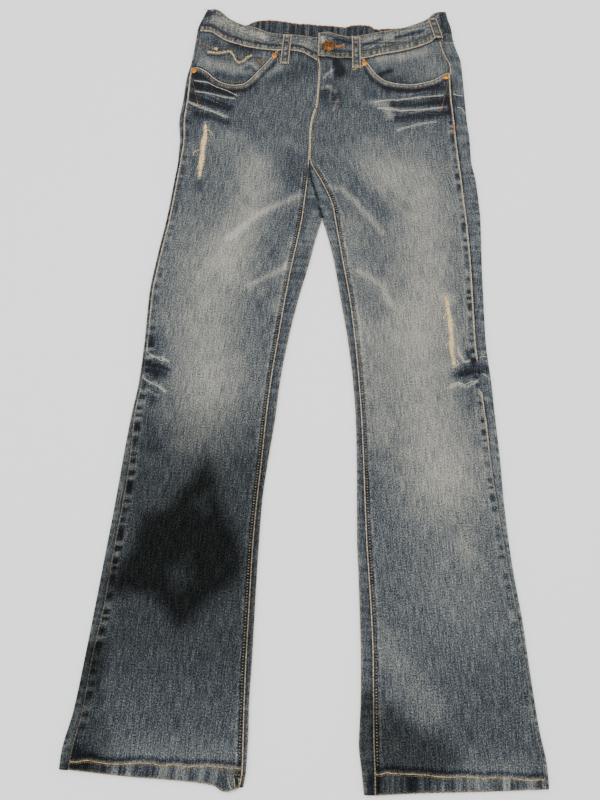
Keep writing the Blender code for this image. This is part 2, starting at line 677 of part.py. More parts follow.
def facing(leg, name):
    """The ply behind a front pocket mouth, up to the waistband seam."""
    sign = leg.sign
    inner = mouth_end[sign].x + sign * 5.0
    columns = BAND_COLUMNS[sign]
    shares = [c / columns for c in range(columns)]
    shares = [c for c in shares if sign * (band_place(sign, c, 0.0)[0] - inner) > 4.0]
    rows = []
    for rise in (0.0, 0.35, 0.7, 1.0):
        row = []
        for share in shares + [None]:
            high_x, high_y = band_place(sign, share, 0.0) if share is not None else (inner, 0)
            high_y = band_seam[sign](high_x)
            low_x = inner + (high_x - inner) * (MOUTH_SPREAD if share is not None else 1.0)
            x = mix(low_x, high_x, rise)
            y = mix(mouth[sign](low_x) - 6.0, high_y - SEAM_GAP, rise)
            if share == 0:
                y = mix(SIDE_TOP[sign] - 6.0, band_side_levels[sign][0] - 0.6, rise)
                x = leg.outseam(y) - sign * 0.35
            row.append((x, y, on_top(leg, x, y) - 0.25))
        rows.append(row)
    if sign > 0:
        rows = [row[::-1] for row in rows]
    return cloth(name, rows, FACING_WALL, "denim_facing")


def coin_pocket():
    wavy = across(COIN_MOUTH)
    rows = []
    for rise in (0.0, 0.5, 1.0):
        row = []
        for c in range(15):
            share = c / 14
            x = mix(mix(-203, -196, rise), mix(-96, -104, rise), share)
            y = mix(mouth[-1](x) + 2.6, wavy(x), rise)
            row.append((x, y, on_top(RIGHT, x, y) + 1.3))
        rows.append(row)
    return cloth("coin_pocket", rows, FACING_WALL, "denim_facing")


POCKET_SHARES = [0.0, 0.08, 0.3, 0.5, 0.7, 0.92, 1.0]


def back_pocket(sign, name):
    """A plain patch pocket under the seat, pointed at the bottom."""
    rows = []
    for rise in (0.0, 0.12, 0.5, 1.0):
        row = []
        for share in POCKET_SHARES:
            half = mix(62, 72, rise)
            x = sign * (104 + half * (2 * share - 1) * (1 if sign > 0 else -1) * sign)
            point = 855 + 22 * abs(2 * share - 1) ** 1.5
            top = 996 + 8 * sign * (x - sign * 104) / 72
            row.append((x, mix(point, top, rise), WALL / 2))
        rows.append(row if row[0][0] < row[-1][0] else row[::-1])
    return cloth(name, rows, WALL, "denim_back")


# Belt loops

def loop_on_front(sign, name, top, bottom):
    """A loop over the front waistband, its lower end on the panel under it."""
    leg = RIGHT if sign < 0 else LEFT
    rows = []
    for rise in (0.0, 0.12, 0.3, 0.5, 0.75, 1.0):
        row = []
        for share in (-0.5, 0.0, 0.5):
            x = mix(bottom.x, top.x, rise) + share * LOOP_WIDTH
            y = mix(bottom.y, top.y, rise)
            over_band = smoothstep(-9.0, -0.5, y - band_seam[sign](x))
            panel = front_height(leg, x, y) + WALL / 2
            band = band_height(sign, x, y) + BAND_WALL / 2
            bulge = 0.8 * math.sin(math.pi * rise) ** 2
            row.append((x, y, mix(panel, band, over_band) + LOOP_SEAT + WALL / 2 + bulge))
        rows.append(row)
    return cloth(name, rows, WALL, "denim_band")


def loop_under(name, x, low, high, lean=0.0):
    """A loop on the back waistband, which the garment rests on."""
    rows = []
    for rise in (0.0, 0.5, 1.0):
        y = mix(low, high, rise)
        middle = x + lean * (rise - 0.5)
        rows.append([(middle + share * LOOP_WIDTH, y, WALL / 2) for share in (-0.5, 0.0, 0.5)])
    return cloth(name, rows, WALL, "denim_band")


# Rips

def cut_rip(panel, name, spots, width):
    """Cut a ragged slit, widest in the middle, right through a front."""
    line = upward(spots)
    low, high = spots[-1].y, spots[0].y
    steps = 10
    left, right = [], []
    for i in range(steps + 1):
        share = i / steps
        y = mix(low, high, share)
        half = width / 2 * (0.35 + 0.65 * math.sin(math.pi * share)) * (1 + 0.18 * (-1) ** i)
        left.append((line(y) - half, y))
        right.append((line(y) + half, y))
    build = bmesh.new()
    outline = [build.verts.new((x * MM, y * MM, 0.0)) for x, y in left + right[::-1]]
    floor = build.faces.new(outline)
    raised = bmesh.ops.extrude_face_region(build, geom=[floor])
    moved = [item for item in raised["geom"] if isinstance(item, bmesh.types.BMVert)]
    bmesh.ops.translate(build, verts=moved, vec=(0, 0, 14 * MM))
    bmesh.ops.recalc_face_normals(build, faces=build.faces)
    mesh = bpy.data.meshes.new(name)
    build.to_mesh(mesh)
    build.free()
    cutter = bpy.data.objects.new(name, mesh)
    CUTTERS.objects.link(cutter)
    cutter.parent = LAY
    cutter.hide_render = True
    cutter.display_type = "WIRE"
    cut = panel.modifiers.new("rip", "BOOLEAN")
    cut.operation = "DIFFERENCE"
    cut.solver = "EXACT"
    cut.object = cutter


# Metal

def zip_slider():
    """The slider at the closed end of the coin pocket's zip."""
    build = bmesh.new()
    bmesh.ops.create_cube(build, size=1.0)
    bmesh.ops.scale(build, verts=build.verts, vec=Vector(SLIDER_SIZE) * MM)
    mesh = bpy.data.meshes.new("coin_zip_slider")
    build.to_mesh(mesh)
    build.free()
    made = add_object("coin_zip_slider", mesh, "zip_brass", smooth=False)
    seat = on_top(RIGHT, SLIDER_AT.x, SLIDER_AT.y) + 0.25 + SEAM_GAP
    made.location = (SLIDER_AT.x * MM, SLIDER_AT.y * MM, (seat + SLIDER_SIZE[2] / 2) * MM)
    made.rotation_euler = (0, 0, math.radians(-18))
    round_off = made.modifiers.new("edges", "BEVEL")
    round_off.width = 0.5 * MM
    round_off.segments = 1
    return made


def button():
    profile = [(0.0, BUTTON_HEIGHT), (3.2, BUTTON_HEIGHT - 0.1), (6.4, BUTTON_HEIGHT - 0.5),
               (7.4, BUTTON_HEIGHT - 0.9), (8.4, BUTTON_HEIGHT - 0.5),
               (BUTTON_RADIUS - 0.5, BUTTON_HEIGHT - 0.9), (BUTTON_RADIUS, BUTTON_HEIGHT - 1.6),
               (BUTTON_RADIUS - 0.3, 1.0), (7.0, 0.0), (0.0, 0.0)]
    height = band_height(1, BUTTON_AT.x, BUTTON_AT.y) + BAND_WALL / 2 + SEAM_GAP
    return turned("button", profile, BUTTON_AT, height, "bronze", 32)


def rivet(name, at):
    leg = RIGHT if at.x < 0 else LEFT
    profile = [(0.0, RIVET_HEIGHT), (1.4, RIVET_HEIGHT - 0.05), (2.0, RIVET_HEIGHT - 0.5),
               (3.4, RIVET_HEIGHT - 0.7), (RIVET_RADIUS, 0.5), (RIVET_RADIUS - 0.1, 0.0),
               (0.0, 0.0)]
    around = [(0, 0)] + [(RIVET_RADIUS * math.cos(a), RIVET_RADIUS * math.sin(a))
                         for a in (0, 1.57, 3.14, 4.71)]
    seat = max(front_height(leg, at.x + dx, at.y + dy) for dx, dy in around)
    return turned(name, profile, at, seat + WALL / 2 + SEAM_GAP, "copper", 16)


def settle():
    """Put the origin under the middle of the whole garment, on the floor."""
    bpy.context.view_layer.update()
    graph = bpy.context.evaluated_depsgraph_get()
    low, high = Vector((1e9,) * 3), Vector((-1e9,) * 3)
    for thing in GARMENT.objects:
        if thing.type != "MESH":
            continue
        seen = thing.evaluated_get(graph)
        shape = seen.to_mesh()
        for vertex in shape.vertices:
            place = thing.matrix_world @ vertex.co
            low = Vector(map(min, low, place))
            high = Vector(map(max, high, place))
        seen.to_mesh_clear()
    LAY.location = (-(low.x + high.x) / 2, -(low.y + high.y) / 2, -low.z)


clear_scene()
GARMENT = collection("ripped_jeans")
CUTTERS = collection("cutters")
LAY = bpy.data.objects.new("laid_out", None)
GARMENT.objects.link(LAY)

front_right = front_panel(RIGHT, "front_right")
front_left = front_panel(LEFT, "front_left")
cut_rip(front_right, "rip_thigh", RIP_RIGHT, RIP_RIGHT_WIDTH)
cut_rip(front_left, "rip_knee", RIP_LEFT, RIP_LEFT_WIDTH)
back_panel(RIGHT, "back_right")
back_panel(LEFT, "back_left")
yoke(RIGHT, "yoke_right")
yoke(LEFT, "yoke_left")
band_front(RIGHT, "waistband_right")
band_front(LEFT, "waistband_left")
band_tab()
band_back("waistband_back")
facing(RIGHT, "pocket_facing_right")
facing(LEFT, "pocket_facing_left")
coin_pocket()
back_pocket(-1, "back_pocket_right")
back_pocket(1, "back_pocket_left")
loop_on_front(-1, "loop_front_right", Spot(-63, 1066.5), Spot(-66.3, 1014))
loop_on_front(1, "loop_front_left", Spot(44.6, 1066), Spot(46.8, 1010))
loop_on_front(1, "loop_side_left", Spot(164.6, 1104.5), Spot(175.2, 1069))
loop_under("loop_side_right", -176, 1052, 1100, 14)
loop_under("loop_back", 0, 1036, 1087)
zip_slider()
button()
for rivet_name, rivet_at in RIVETS.items():
    rivet(rivet_name, rivet_at)
settle()
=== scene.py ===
"""Looks of the ripped jeans, laid flat: finer cloth, worn denim, sewing, rips and metal."""
import math
from collections import namedtuple

import bpy
import numpy as np
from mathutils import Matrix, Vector


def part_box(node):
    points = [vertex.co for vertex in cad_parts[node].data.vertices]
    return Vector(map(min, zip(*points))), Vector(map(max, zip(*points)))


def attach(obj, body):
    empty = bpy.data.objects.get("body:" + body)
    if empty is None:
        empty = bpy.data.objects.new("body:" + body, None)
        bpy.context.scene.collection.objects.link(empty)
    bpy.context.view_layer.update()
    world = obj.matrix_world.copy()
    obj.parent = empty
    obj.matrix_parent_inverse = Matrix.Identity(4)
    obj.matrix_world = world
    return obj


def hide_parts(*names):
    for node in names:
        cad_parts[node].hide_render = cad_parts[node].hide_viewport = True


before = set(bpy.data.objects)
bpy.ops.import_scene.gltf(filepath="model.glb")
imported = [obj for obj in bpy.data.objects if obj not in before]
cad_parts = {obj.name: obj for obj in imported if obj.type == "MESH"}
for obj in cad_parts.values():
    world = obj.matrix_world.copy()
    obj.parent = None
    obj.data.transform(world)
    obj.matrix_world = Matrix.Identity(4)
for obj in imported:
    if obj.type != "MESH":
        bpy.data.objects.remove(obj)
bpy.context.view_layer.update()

# Camera
# The photograph was taken from above the thighs, tipped a little towards the hems.
# The button's CAD place ties the garment's millimetres, used all through, to the row's metres.
MM = 0.001
BUTTON_AT = (2.0, 1046.0)
button_low, button_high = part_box("button")
LAID = (Vector(button_low) + Vector(button_high)) / 2 - Vector((*BUTTON_AT, 0)) * MM
LAID.z = 0.0

PHOTO_HEIGHT = 800.0
FOCAL_PIXELS = 693.0
FILM = 36.0


def put(name, data):
    """Place a mesh, lamp or camera in the scene."""
    made = bpy.data.objects.new(name, data)
    bpy.context.scene.collection.objects.link(made)
    return made


camera_data = bpy.data.cameras.new("camera")
camera_data.sensor_width = FILM
camera_data.lens = FILM * FOCAL_PIXELS / PHOTO_HEIGHT
camera = put("camera", camera_data)
camera.location = LAID + Vector((-14.0, 268.7, 952.5)) * MM
camera.rotation_euler = (math.radians(12.4), 0.0, math.radians(2.135))
bpy.context.scene.camera = camera

# Front panels
# Each is one ply of stone-washed denim, cut through at its rip. The sheet follows the outseam,
# inseam, fly, pocket mouth and hem, with closer points where seams pucker and whiskers crease.
# Walls, the gap at a sewn seam, the plies' heights and the folds' shape are in millimetres.
WALL = 1.2
HEM_WALL = 2.2
SEAM_GAP = 0.3
LAYER = 1.8
FOLD_HEIGHT = 4.0
FOLD_DEPTH = 2.3
FOLD_REACH = 24.0
REST_HIP = 1.5
APEX = (1.0, 754.0)
STRAIGHT_TO = 936.0
SIDE_TOP = {-1: 998.0, 1: 1006.0}
HEM_TOP = 22

Edge = namedtuple("Edge", "y fold seam")
Spot = namedtuple("Spot", "x y")
Crease = namedtuple("Crease", "height width spots")
WearAndShade = namedtuple("WearAndShade", "amount width spots")
# A patch of painted cast shadow: strength, softness of its edge and outline
PaintedShadow = namedtuple("PaintedShadow", "amount soft outline")


def edge_rows(*rows):
    """Where a side's fold and seam lie at each height, from (y, fold, seam)."""
    return [Edge(*row) for row in rows]


def through(*spots):
    """A line through (x, y) spots."""
    return [Spot(*spot) for spot in spots]


def marked(kind, *rows):
    """Creases, fading and shading marks or painted shadow patches, each from two numbers and then
    the spots of its line or outline.
    """
    return [kind(first, second, through(*spots)) for first, second, *spots in rows]


# Each leg's outer fold and outseam, then its inner fold and inseam, at each height
RIGHT_SIDE = edge_rows((-20, -307, -295), (10, -306, -294), (60, -296, -285), (125, -288, -279),
                       (190, -281, -270), (260, -274, -264), (330, -267, -257), (390, -262, -253),
                       (445, -256.5, -252), (500, -249.5, -245.5), (560, -247, -243),
                       (620, -246.5, -242.5), (685, -239.5, -235.5), (745, -230.5, -226.5),
                       (808, -223.7, -219.8), (843, -220.3, -216.4), (875, -220, -214.5),
                       (910, -223.6, -216.5), (945, -220, -214), (980, -218, -213),
                       (1016, -211.5, -207.5), (1052, -208, -203.8), (1074, -206, -201.5),
                       (1090, -200.6, -196), (1105, -195, -190.5), (1112, -192, -187.5))
LEFT_SIDE = edge_rows((-20, 308, 303.5), (15, 306.5, 302), (60, 298, 293.5), (125, 289, 284.5),
                      (190, 281, 275.5), (265, 269, 263), (345, 260.5, 251), (400, 257, 244),
                      (455, 252, 239), (512, 247, 232), (570, 240.5, 226), (630, 238.5, 223.5),
                      (690, 237, 221), (760, 236.5, 216), (792, 234, 212.5), (825, 230, 209),
                      (858, 223.5, 205), (892, 222, 201.5), (926, 218, 198.5), (961, 215.5, 195),
                      (996, 213, 192.8), (1032, 209.5, 188.5), (1046, 204.5, 186.5),
                      (1067, 198.5, 183.4), (1089, 195.2, 180.2), (1104, 190.5, 178),
                      (1119, 187.5, 175.8))
RIGHT_INSIDE = edge_rows((-26, -75, -79.5), (0, -71.6, -75.6), (35, -71, -76.5), (82, -72, -77.5),
                         (130, -71, -78), (190, -70.6, -77.5), (260, -69.8, -77), (330, -68, -74.5),
                         (390, -62.5, -70.5), (447, -55.6, -67.5), (504, -50.7, -63),
                         (564, -42, -56), (625, -30, -48.5), (687, -15, -39.5), (719, -8.3, -34),
                         (754, 1, -28.6))
LEFT_INSIDE = edge_rows((-26, 77, 90), (5, 73, 89), (35, 69.2, 87.5), (87, 70.6, 86),
                        (136, 69.9, 85), (190, 67.5, 82), (240, 65, 78), (288, 62, 74),
                        (341, 60.7, 70.8), (395, 59.4, 68), (451, 57, 64.5), (508, 51.8, 59.5),
                        (567, 43.4, 53), (627, 32, 44.5), (688, 20.2, 32.5), (720, 12, 26.3),
                        (754, 1, 19.8))
# The crotch and fly, the waistband's seams, the pocket mouths and the hems
RIGHT_RISE = through((-28.6, 754), (-25.3, 790), (-22.8, 822), (-21.9, 843))
LEFT_RISE = through((19.8, 754), (15.8, 775), (-0.5, 812), (-11, 830), (-18.6, 843), (-21.4, 852))
CENTRE_FRONT = through((-21.9, 843), (-21.6, 872), (-21.6, 900), (-19, 922), (-13, 947),
                       (-11.7, 976), (-11, 1005), (-14.2, 1030), (-14.6, 1070))
BAND_SEAM_RIGHT = through((-202, 1068), (-188, 1068.5), (-162, 1054), (-118, 1042), (-84, 1038.5),
                          (-58, 1039.5), (-41, 1037.5), (-26, 1029.5), (-14, 1022.5))
BAND_SEAM_LEFT = through((-15, 1029), (3, 1028.5), (17, 1026.5), (39, 1028), (55, 1029), (84, 1037),
                         (120, 1045.6), (147, 1055), (168.6, 1066), (196, 1080))
BAND_SEAM_BACK = through((-202, 1068), (-150, 1056), (-100, 1050), (-50, 1047.5), (0, 1047),
                         (50, 1047.5), (100, 1050.5), (150, 1062), (193, 1079.3))
MOUTH_RIGHT = through((-214, 998), (-201, 1002), (-187, 996), (-174.5, 985), (-160, 977),
                      (-143, 974), (-130, 976), (-118.6, 985), (-107.5, 999), (-98, 1011),
                      (-88, 1024), (-79, 1038))
MOUTH_LEFT = through((57, 1029.5), (62, 1023), (66, 1017.5), (73.4, 1006.6), (82.5, 997), (95, 989),
                     (113, 985.6), (131, 985), (152, 989), (170, 996), (183, 1005), (194, 1009))
HEM_RIGHT = through((0, -8), (0.35, -13), (0.7, -16), (0.84, -19), (0.92, -26), (1, -20))
HEM_LEFT = through((0, -8), (0.3, -13), (0.7, -18), (1, -23))

# The rips, along their middle
RIP_RIGHT = through((-183, 903), (-182, 888), (-184, 868), (-184.5, 845), (-186, 818))
RIP_LEFT = through((184, 638), (188, 612), (191, 584), (191.5, 558), (195, 538))
RIP_WIDTH = {-1: 7.0, 1: 5.2}

# Creases: hips, thighs and the tucks beside each knee
CREASES_RIGHT = marked(Crease,
    (0.9, 5, (-203, 980), (-174, 975), (-153, 963), (-135, 955)),
    (0.9, 5, (-202, 962), (-169, 954), (-142, 948)),
    (0.9, 5, (-212, 941), (-179, 930), (-150, 918)),
    (1.0, 9, (-36, 791), (-99, 749), (-140, 716)),
    (0.8, 9, (-54, 672), (-90, 647), (-112, 637)),
    (1.5, 7, (-246, 539), (-224, 531), (-208, 528)),
    (1.5, 7, (-248, 500), (-226, 492), (-209, 481)))
CREASES_LEFT = marked(Crease,
    (0.9, 5, (74, 952), (95, 956), (138, 961), (214, 966)),
    (0.9, 5, (81, 942), (120, 938), (215, 944)),
    (0.8, 5, (118, 907), (146, 917), (172, 922)),
    (1.0, 9, (19, 806), (56, 780), (85, 740)),
    (0.8, 9, (56, 672), (86, 655), (104, 629)),
    (1.5, 7, (198, 556), (210, 541), (240, 549)),
    (1.5, 7, (186, 505), (209, 508), (243, 512)))
# Small folds between the main ones, which only the sheet's finer points can carry
FINE_CREASES_RIGHT = marked(Crease,
    (-0.7, 3.5, (-208, 990), (-183, 984), (-160, 970), (-140, 962)),
    (-0.7, 3.5, (-207, 972), (-172, 965), (-146, 957)),
    (-0.8, 4, (-212, 952), (-178, 942), (-150, 933)),
    (0.5, 3, (-196, 921), (-172, 914), (-150, 912)),
    (-0.9, 5, (-247, 519), (-226, 512), (-206, 506)),
    (0.4, 5, (-60, 905), (-40, 880), (-33, 850)),
    (0.5, 7, (-44, 742), (-92, 706), (-128, 690)))
FINE_CREASES_LEFT = marked(Crease,
    (-0.7, 3.5, (80, 978), (130, 975), (192, 983)),
    (-0.7, 3.5, (84, 948), (128, 950), (192, 956)),
    (-0.7, 3.5, (100, 927), (140, 928), (192, 933)),
    (0.5, 3, (96, 900), (120, 905), (140, 912)),
    (-0.9, 5, (190, 524), (216, 526), (245, 534)),
    (0.5, 3, (0, 1010), (6, 990), (14, 970)),
    (0.5, 3, (-2, 985), (12, 992), (26, 996)),
    (0.5, 7, (30, 752), (66, 728), (92, 694)))
# Where the wash and wear have paled (above 0) or kept (below 0) the indigo, with painted shade in
# the troughs of the hip creases and the knee tucks
FADE_AND_SHADE_RIGHT = marked(WearAndShade,
    (0.31, 38, (-100, 828), (-103, 795), (-112, 750), (-140, 690)),
    (0.06, 30, (-170, 880), (-90, 880)),
    (-0.08, 26, (-30, 840), (-50, 870), (-200, 930)),
    (-0.12, 12, (-190, 840), (-190, 800)),
    (-0.30, 26, (-300, 0), (-285, 0)),
    (0.26, 62, (-156, 660), (-166, 590), (-150, 510)),
    (0.06, 40, (-150, 620), (-160, 560)),
    (-0.10, 30, (-170, 690), (-150, 680)),
    (0.14, 20, (-44, 690), (-62, 620)),
    (0.14, 45, (-150, 480), (-160, 420)),
    (0.08, 34, (-150, 880), (-195, 860), (-200, 700)),
    (0.26, 5, (-32, 793), (-63, 776), (-94, 759), (-135, 718)),
    (0.24, 4.5, (-50, 676), (-75, 660), (-104, 645)),
    (-0.08, 20, (-60, 738), (-72, 700)),
    (-0.11, 17, (-46, 814), (-64, 838)),
    (-0.07, 14, (-64, 642), (-82, 612)),
    (-0.20, 11, (-207, 1006), (-200, 962)),
    (-0.10, 12, (-216, 880), (-222, 760)),
    (-0.12, 16, (-232, 440), (-222, 405)),
    (0.30, 8, (-104, 988), (-72, 1010)),
    (-0.24, 10, (-293, 6), (-270, 2)),
    (-0.13, 12, (-240, 2), (-222, 2)),
    (0.13, 12, (-30, 690), (-32, 630)),
    (-0.10, 16, (-176, 962), (-128, 958)),
    (-0.09, 16, (-206, 920), (-190, 880), (-180, 866)),
    (-0.10, 16, (-36, 1006), (-10, 1000)),
    (0.10, 13, (-68, 722), (-46, 716)),
    (0.15, 24, (-250, 5), (-100, 5)),
    (-0.14, 22, (-120, 990), (-60, 1000)),
    (0.46, 1.2, (-203, 980), (-174, 975), (-153, 963), (-136, 955)),
    (0.40, 1.2, (-202, 962), (-169, 955), (-142, 951)),
    (0.72, 1.3, (-212, 941), (-195, 936), (-179, 930), (-150, 918)),
    # Painted shade in the troughs between the hip's creases
    (-0.26, 6, (-208, 988), (-183, 986), (-166, 971), (-146, 962)),
    (-0.32, 5, (-206, 971), (-172, 965), (-146, 957)),
    (-0.36, 6, (-212, 952), (-178, 942), (-148, 934)),
    (-0.26, 5, (-198, 922), (-176, 918), (-150, 908)),
    (0.44, 1.8, (-242, 540), (-233, 533), (-224, 532), (-210, 527)),
    (0.44, 1.8, (-244, 502), (-235, 494), (-226, 494), (-211, 482)),
    (0.34, 1.5, (-238, 486), (-228, 478), (-220, 476)),
    # Painted shade in the knee tuck's fold
    (-0.36, 8, (-247, 520), (-230, 512), (-216, 509)),
    (-0.40, 2, (-247, 524), (-236, 519), (-224, 521), (-208, 514)),
    (-0.18, 9, (-232, 570), (-228, 470)),
    (0.10, 12, (-60, 880), (-36, 870)))
FADE_AND_SHADE_LEFT = marked(WearAndShade,
    (0.24, 66, (120, 820), (148, 780), (150, 700), (140, 640)),
    (0.13, 20, (44, 750), (52, 700), (62, 640), (72, 560), (84, 470), (90, 430)),
    (0.10, 30, (150, 830), (158, 720), (170, 640)),
    (0.34, 62, (140, 560), (150, 500), (162, 440), (176, 390)),
    (0.12, 66, (184, 340), (190, 270), (196, 220)),
    (0.14, 30, (64, 850), (90, 830)),
    (0.26, 4.5, (12, 806), (28, 803), (49, 784), (70, 760), (90, 735)),
    (0.24, 4.5, (56, 674), (78, 661), (91, 650), (104, 623)),
    (-0.12, 13, (46, 824), (72, 795), (94, 766)),
    (-0.10, 13, (64, 642), (82, 606)),
    (-0.18, 12, (202, 978), (196, 946)),
    (-0.12, 8, (168, 957), (192, 960)),
    (-0.15, 11, (70, 374), (72, 350)),
    (0.14, 14, (206, 286), (214, 274)),
    (0.16, 11, (88, 88), (92, 74)),
    (0.13, 10, (288, 86), (292, 74)),
    (0.14, 12, (30, 690), (32, 630)),
    (0.16, 12, (46, 612), (54, 550)),
    (0.13, 11, (206, 574), (212, 556)),
    (-0.12, 11, (164, 964), (206, 960)),
    (-0.11, 12, (70, 968), (74, 950)),
    (-0.11, 14, (8, 1004), (12, 950)),
    (-0.10, 14, (30, 1006), (50, 1000)),
    (0.10, 10, (30, 726), (32, 680)),
    (0.17, 24, (104, 152), (130, 114), (160, 82)),
    (0.20, 20, (215, 2), (270, 2)),
    (0.38, 1.2, (74, 952), (95, 956), (138, 961), (182, 969)),
    (0.46, 1.2, (81, 942), (120, 938), (186, 948)),
    (0.50, 1.3, (112, 905), (146, 917), (171, 922)),
    (0.28, 6, (70, 952), (92, 948), (100, 930)),
    # Painted shade in the troughs between the hip's creases
    (-0.28, 6, (92, 976), (130, 974), (188, 982)),
    (-0.30, 5, (104, 950), (140, 951), (190, 957)),
    (-0.30, 6, (112, 926), (150, 930), (192, 938)),
    (-0.20, 7, (196, 1000), (198, 930)),
    (0.46, 1.6, (200, 562), (203, 552), (209, 541), (218, 543)),
    (0.40, 1.5, (229, 549), (235, 551), (242, 549)),
    (0.46, 1.7, (188, 503), (200, 509), (212, 504), (226, 513)),
    (0.34, 1.5, (229, 497), (235, 490), (240, 486)),
    # Painted shade in the knee tuck's folds
    (-0.34, 7, (198, 522), (214, 528), (236, 531)),
    (-0.45, 2, (204, 522), (216, 525), (232, 528), (246, 531)),
    (-0.30, 4, (214, 556), (222, 536)),
    (-0.14, 10, (214, 570), (218, 480)),
    (-0.60, 8, (14, 1016), (22, 1002)),
    (-0.22, 13, (-4, 962), (14, 956)),
    (0.40, 2.4, (6, 1022), (8, 1005), (8, 994)),
    (0.34, 2.0, (-4, 992), (6, 1004), (16, 1010)),
    (0.30, 2.4, (2, 978), (8, 968), (6, 952)),
    (0.30, 3.0, (-6, 974), (6, 978), (14, 968)),
    (0.34, 1.8, (18, 955), (15, 945), (13, 936)))
# Where fine whiskers cross each hip: middle, half size and slope of the fibrous lines
Whiskers = namedtuple("Whiskers", "x y width height slope")
WHISKERS = {-1: Whiskers(-176, 952, 36, 34, -0.37), 1: Whiskers(142, 944, 56, 38, 0.13)}
# Painted cast shadow over the right shin and round it, and beside both hems, with lighter gaps
# where light comes through: strength, softness and outline
PAINTED_SHADOW_RIGHT = marked(PaintedShadow, (0.44, 16, (-149, 396), (-164, 368), (-176, 351), (-199, 323),
                           (-231, 309), (-236, 283), (-242, 262), (-256, 243), (-267, 227),
                           (-266, 202), (-236, 207), (-205, 202), (-191, 188), (-171, 164),
                           (-152, 175), (-129, 202), (-103, 221), (-87, 243), (-93, 272),
                           (-104, 300), (-119, 323), (-129, 349), (-136, 377)),
                    (0.42, 9, (-310, 138), (-260, 148), (-262, 60), (-242, 26), (-246, -40),
                     (-320, -40)),
                    (0.46, 80, (-400, 440), (60, 440), (60, 90), (-400, 90)),
                    (-0.22, 17, (-186, 239), (-165, 248), (-158, 228), (-176, 217)),
                    (-0.24, 15, (-159, 333), (-144, 339), (-144, 314)))
PAINTED_SHADOW_LEFT = marked(PaintedShadow, (0.52, 13, (50, 108), (86, 98), (98, 88), (112, 78), (128, 66), (142, 56),
                          (166, 50), (188, 36), (198, 20), (180, 4), (156, -10), (140, -40),
                          (50, -40)),
                   (0.10, 60, (0, 120), (400, 120), (400, 20), (0, 20)))


def smoothstep(start, end, value):
    """0 before the start, 1 past the end and a soft step between."""
    share = np.clip((value - start) / (end - start), 0.0, 1.0)
    return share * share * (3.0 - 2.0 * share)


def mix(first, second, share):
    """The value part of the way from first to second."""
    return first + (second - first) * share


def bell(away, width, power=2):
    """1 in the middle and softly down to 0 past a width, with a flatter top at a higher power."""
    return np.exp(-(away / width) ** power)


def smooth_line(pairs):
    """Return a function that runs smoothly through (place, value) pairs, with no overshoot."""
    pairs = sorted(pairs)
    places = np.array([pair[0] for pair in pairs], float)
    values = np.array([pair[1] for pair in pairs], float)
    steps = np.diff(places)
    slopes = np.diff(values) / steps
    turns = slopes[:-1] * slopes[1:] > 0
    sums = np.where(turns, slopes[:-1] + slopes[1:], 1.0)
    inner = np.where(turns, 2 * slopes[:-1] * slopes[1:] / sums, 0.0)
    leans = np.concatenate([slopes[:1], inner, slopes[-1:]])

    def at(place):
        place = np.clip(np.asarray(place, float), places[0], places[-1])
        i = np.clip(np.searchsorted(places, place, "right") - 1, 0, len(steps) - 1)
        t = (place - places[i]) / steps[i]
        pull = leans[i] * t * (1 - t) ** 2 - leans[i + 1] * t * t * (1 - t)
        return mix(values[i], values[i + 1], t * t * (3 - 2 * t)) + steps[i] * pull

    return at


def across(spots):
    """The height y of a line at each x."""
    return smooth_line([(spot.x, spot.y) for spot in spots])


def upward(spots):
    """The place x of a line at each y."""
    return smooth_line([(spot.y, spot.x) for spot in spots])


def bent(spots):
    """The height y of a line that runs straight from spot to spot."""
    return lambda x: np.interp(x, [spot.x for spot in spots], [spot.y for spot in spots])


def distance(spots, x, y):
    """How far each point is from a line of spots."""
    nearest = np.full(np.broadcast(x, y).shape, 1e9)
    for start, end in zip(spots, spots[1:]):
        run_x, run_y = end.x - start.x, end.y - start.y
        along = ((x - start.x) * run_x + (y - start.y) * run_y) / (run_x ** 2 + run_y ** 2)
        along = np.clip(along, 0.0, 1.0)
        nearest = np.minimum(nearest, np.hypot(x - start.x - along * run_x,
                                               y - start.y - along * run_y))
    return nearest


def wear_and_shade_at(marks, x, y):
    """The sum of soft marks at each point."""
    total = np.zeros(np.broadcast(x, y).shape)
    for mark in marks:
        total += mark.amount * bell(distance(mark.spots, x, y), mark.width)
    return total


def ripple(along, seed, pitch=9.0):
    """Uneven puckers along a seam, from -1 to 1, about one pitch apart."""
    turn = 2 * math.pi * along / pitch
    phase = turn + 1.7 * np.sin(turn * 0.23 + seed) + 1.0 * np.sin(turn * 0.53 + 2.3 * seed)
    return np.tanh(1.6 * np.sin(phase)) * (0.72 + 0.28 * np.sin(turn * 0.17 + 3.1 * seed))


def inside(outline, x, y):
    """How far inside a closed outline each point is, in millimetres, or below 0 outside."""
    ring = outline + [outline[0]]
    crossed = np.zeros(np.shape(x), int)
    for start, end in zip(ring, ring[1:]):
        spans = (start.y > y) != (end.y > y)
        at = start.x + (y - start.y) * (end.x - start.x) / (end.y - start.y or 1e-9)
        crossed += spans & (x < at)
    return np.where(crossed % 2 == 1, 1.0, -1.0) * distance(ring, x, y)


def soiled(marks, x, y):
    """The sum of soft-edged patches of painted shadow at each point."""
    total = np.zeros(np.shape(x))
    for mark in marks:
        total += mark.amount * smoothstep(-mark.soft, mark.soft, inside(mark.outline, x, y))
    return total


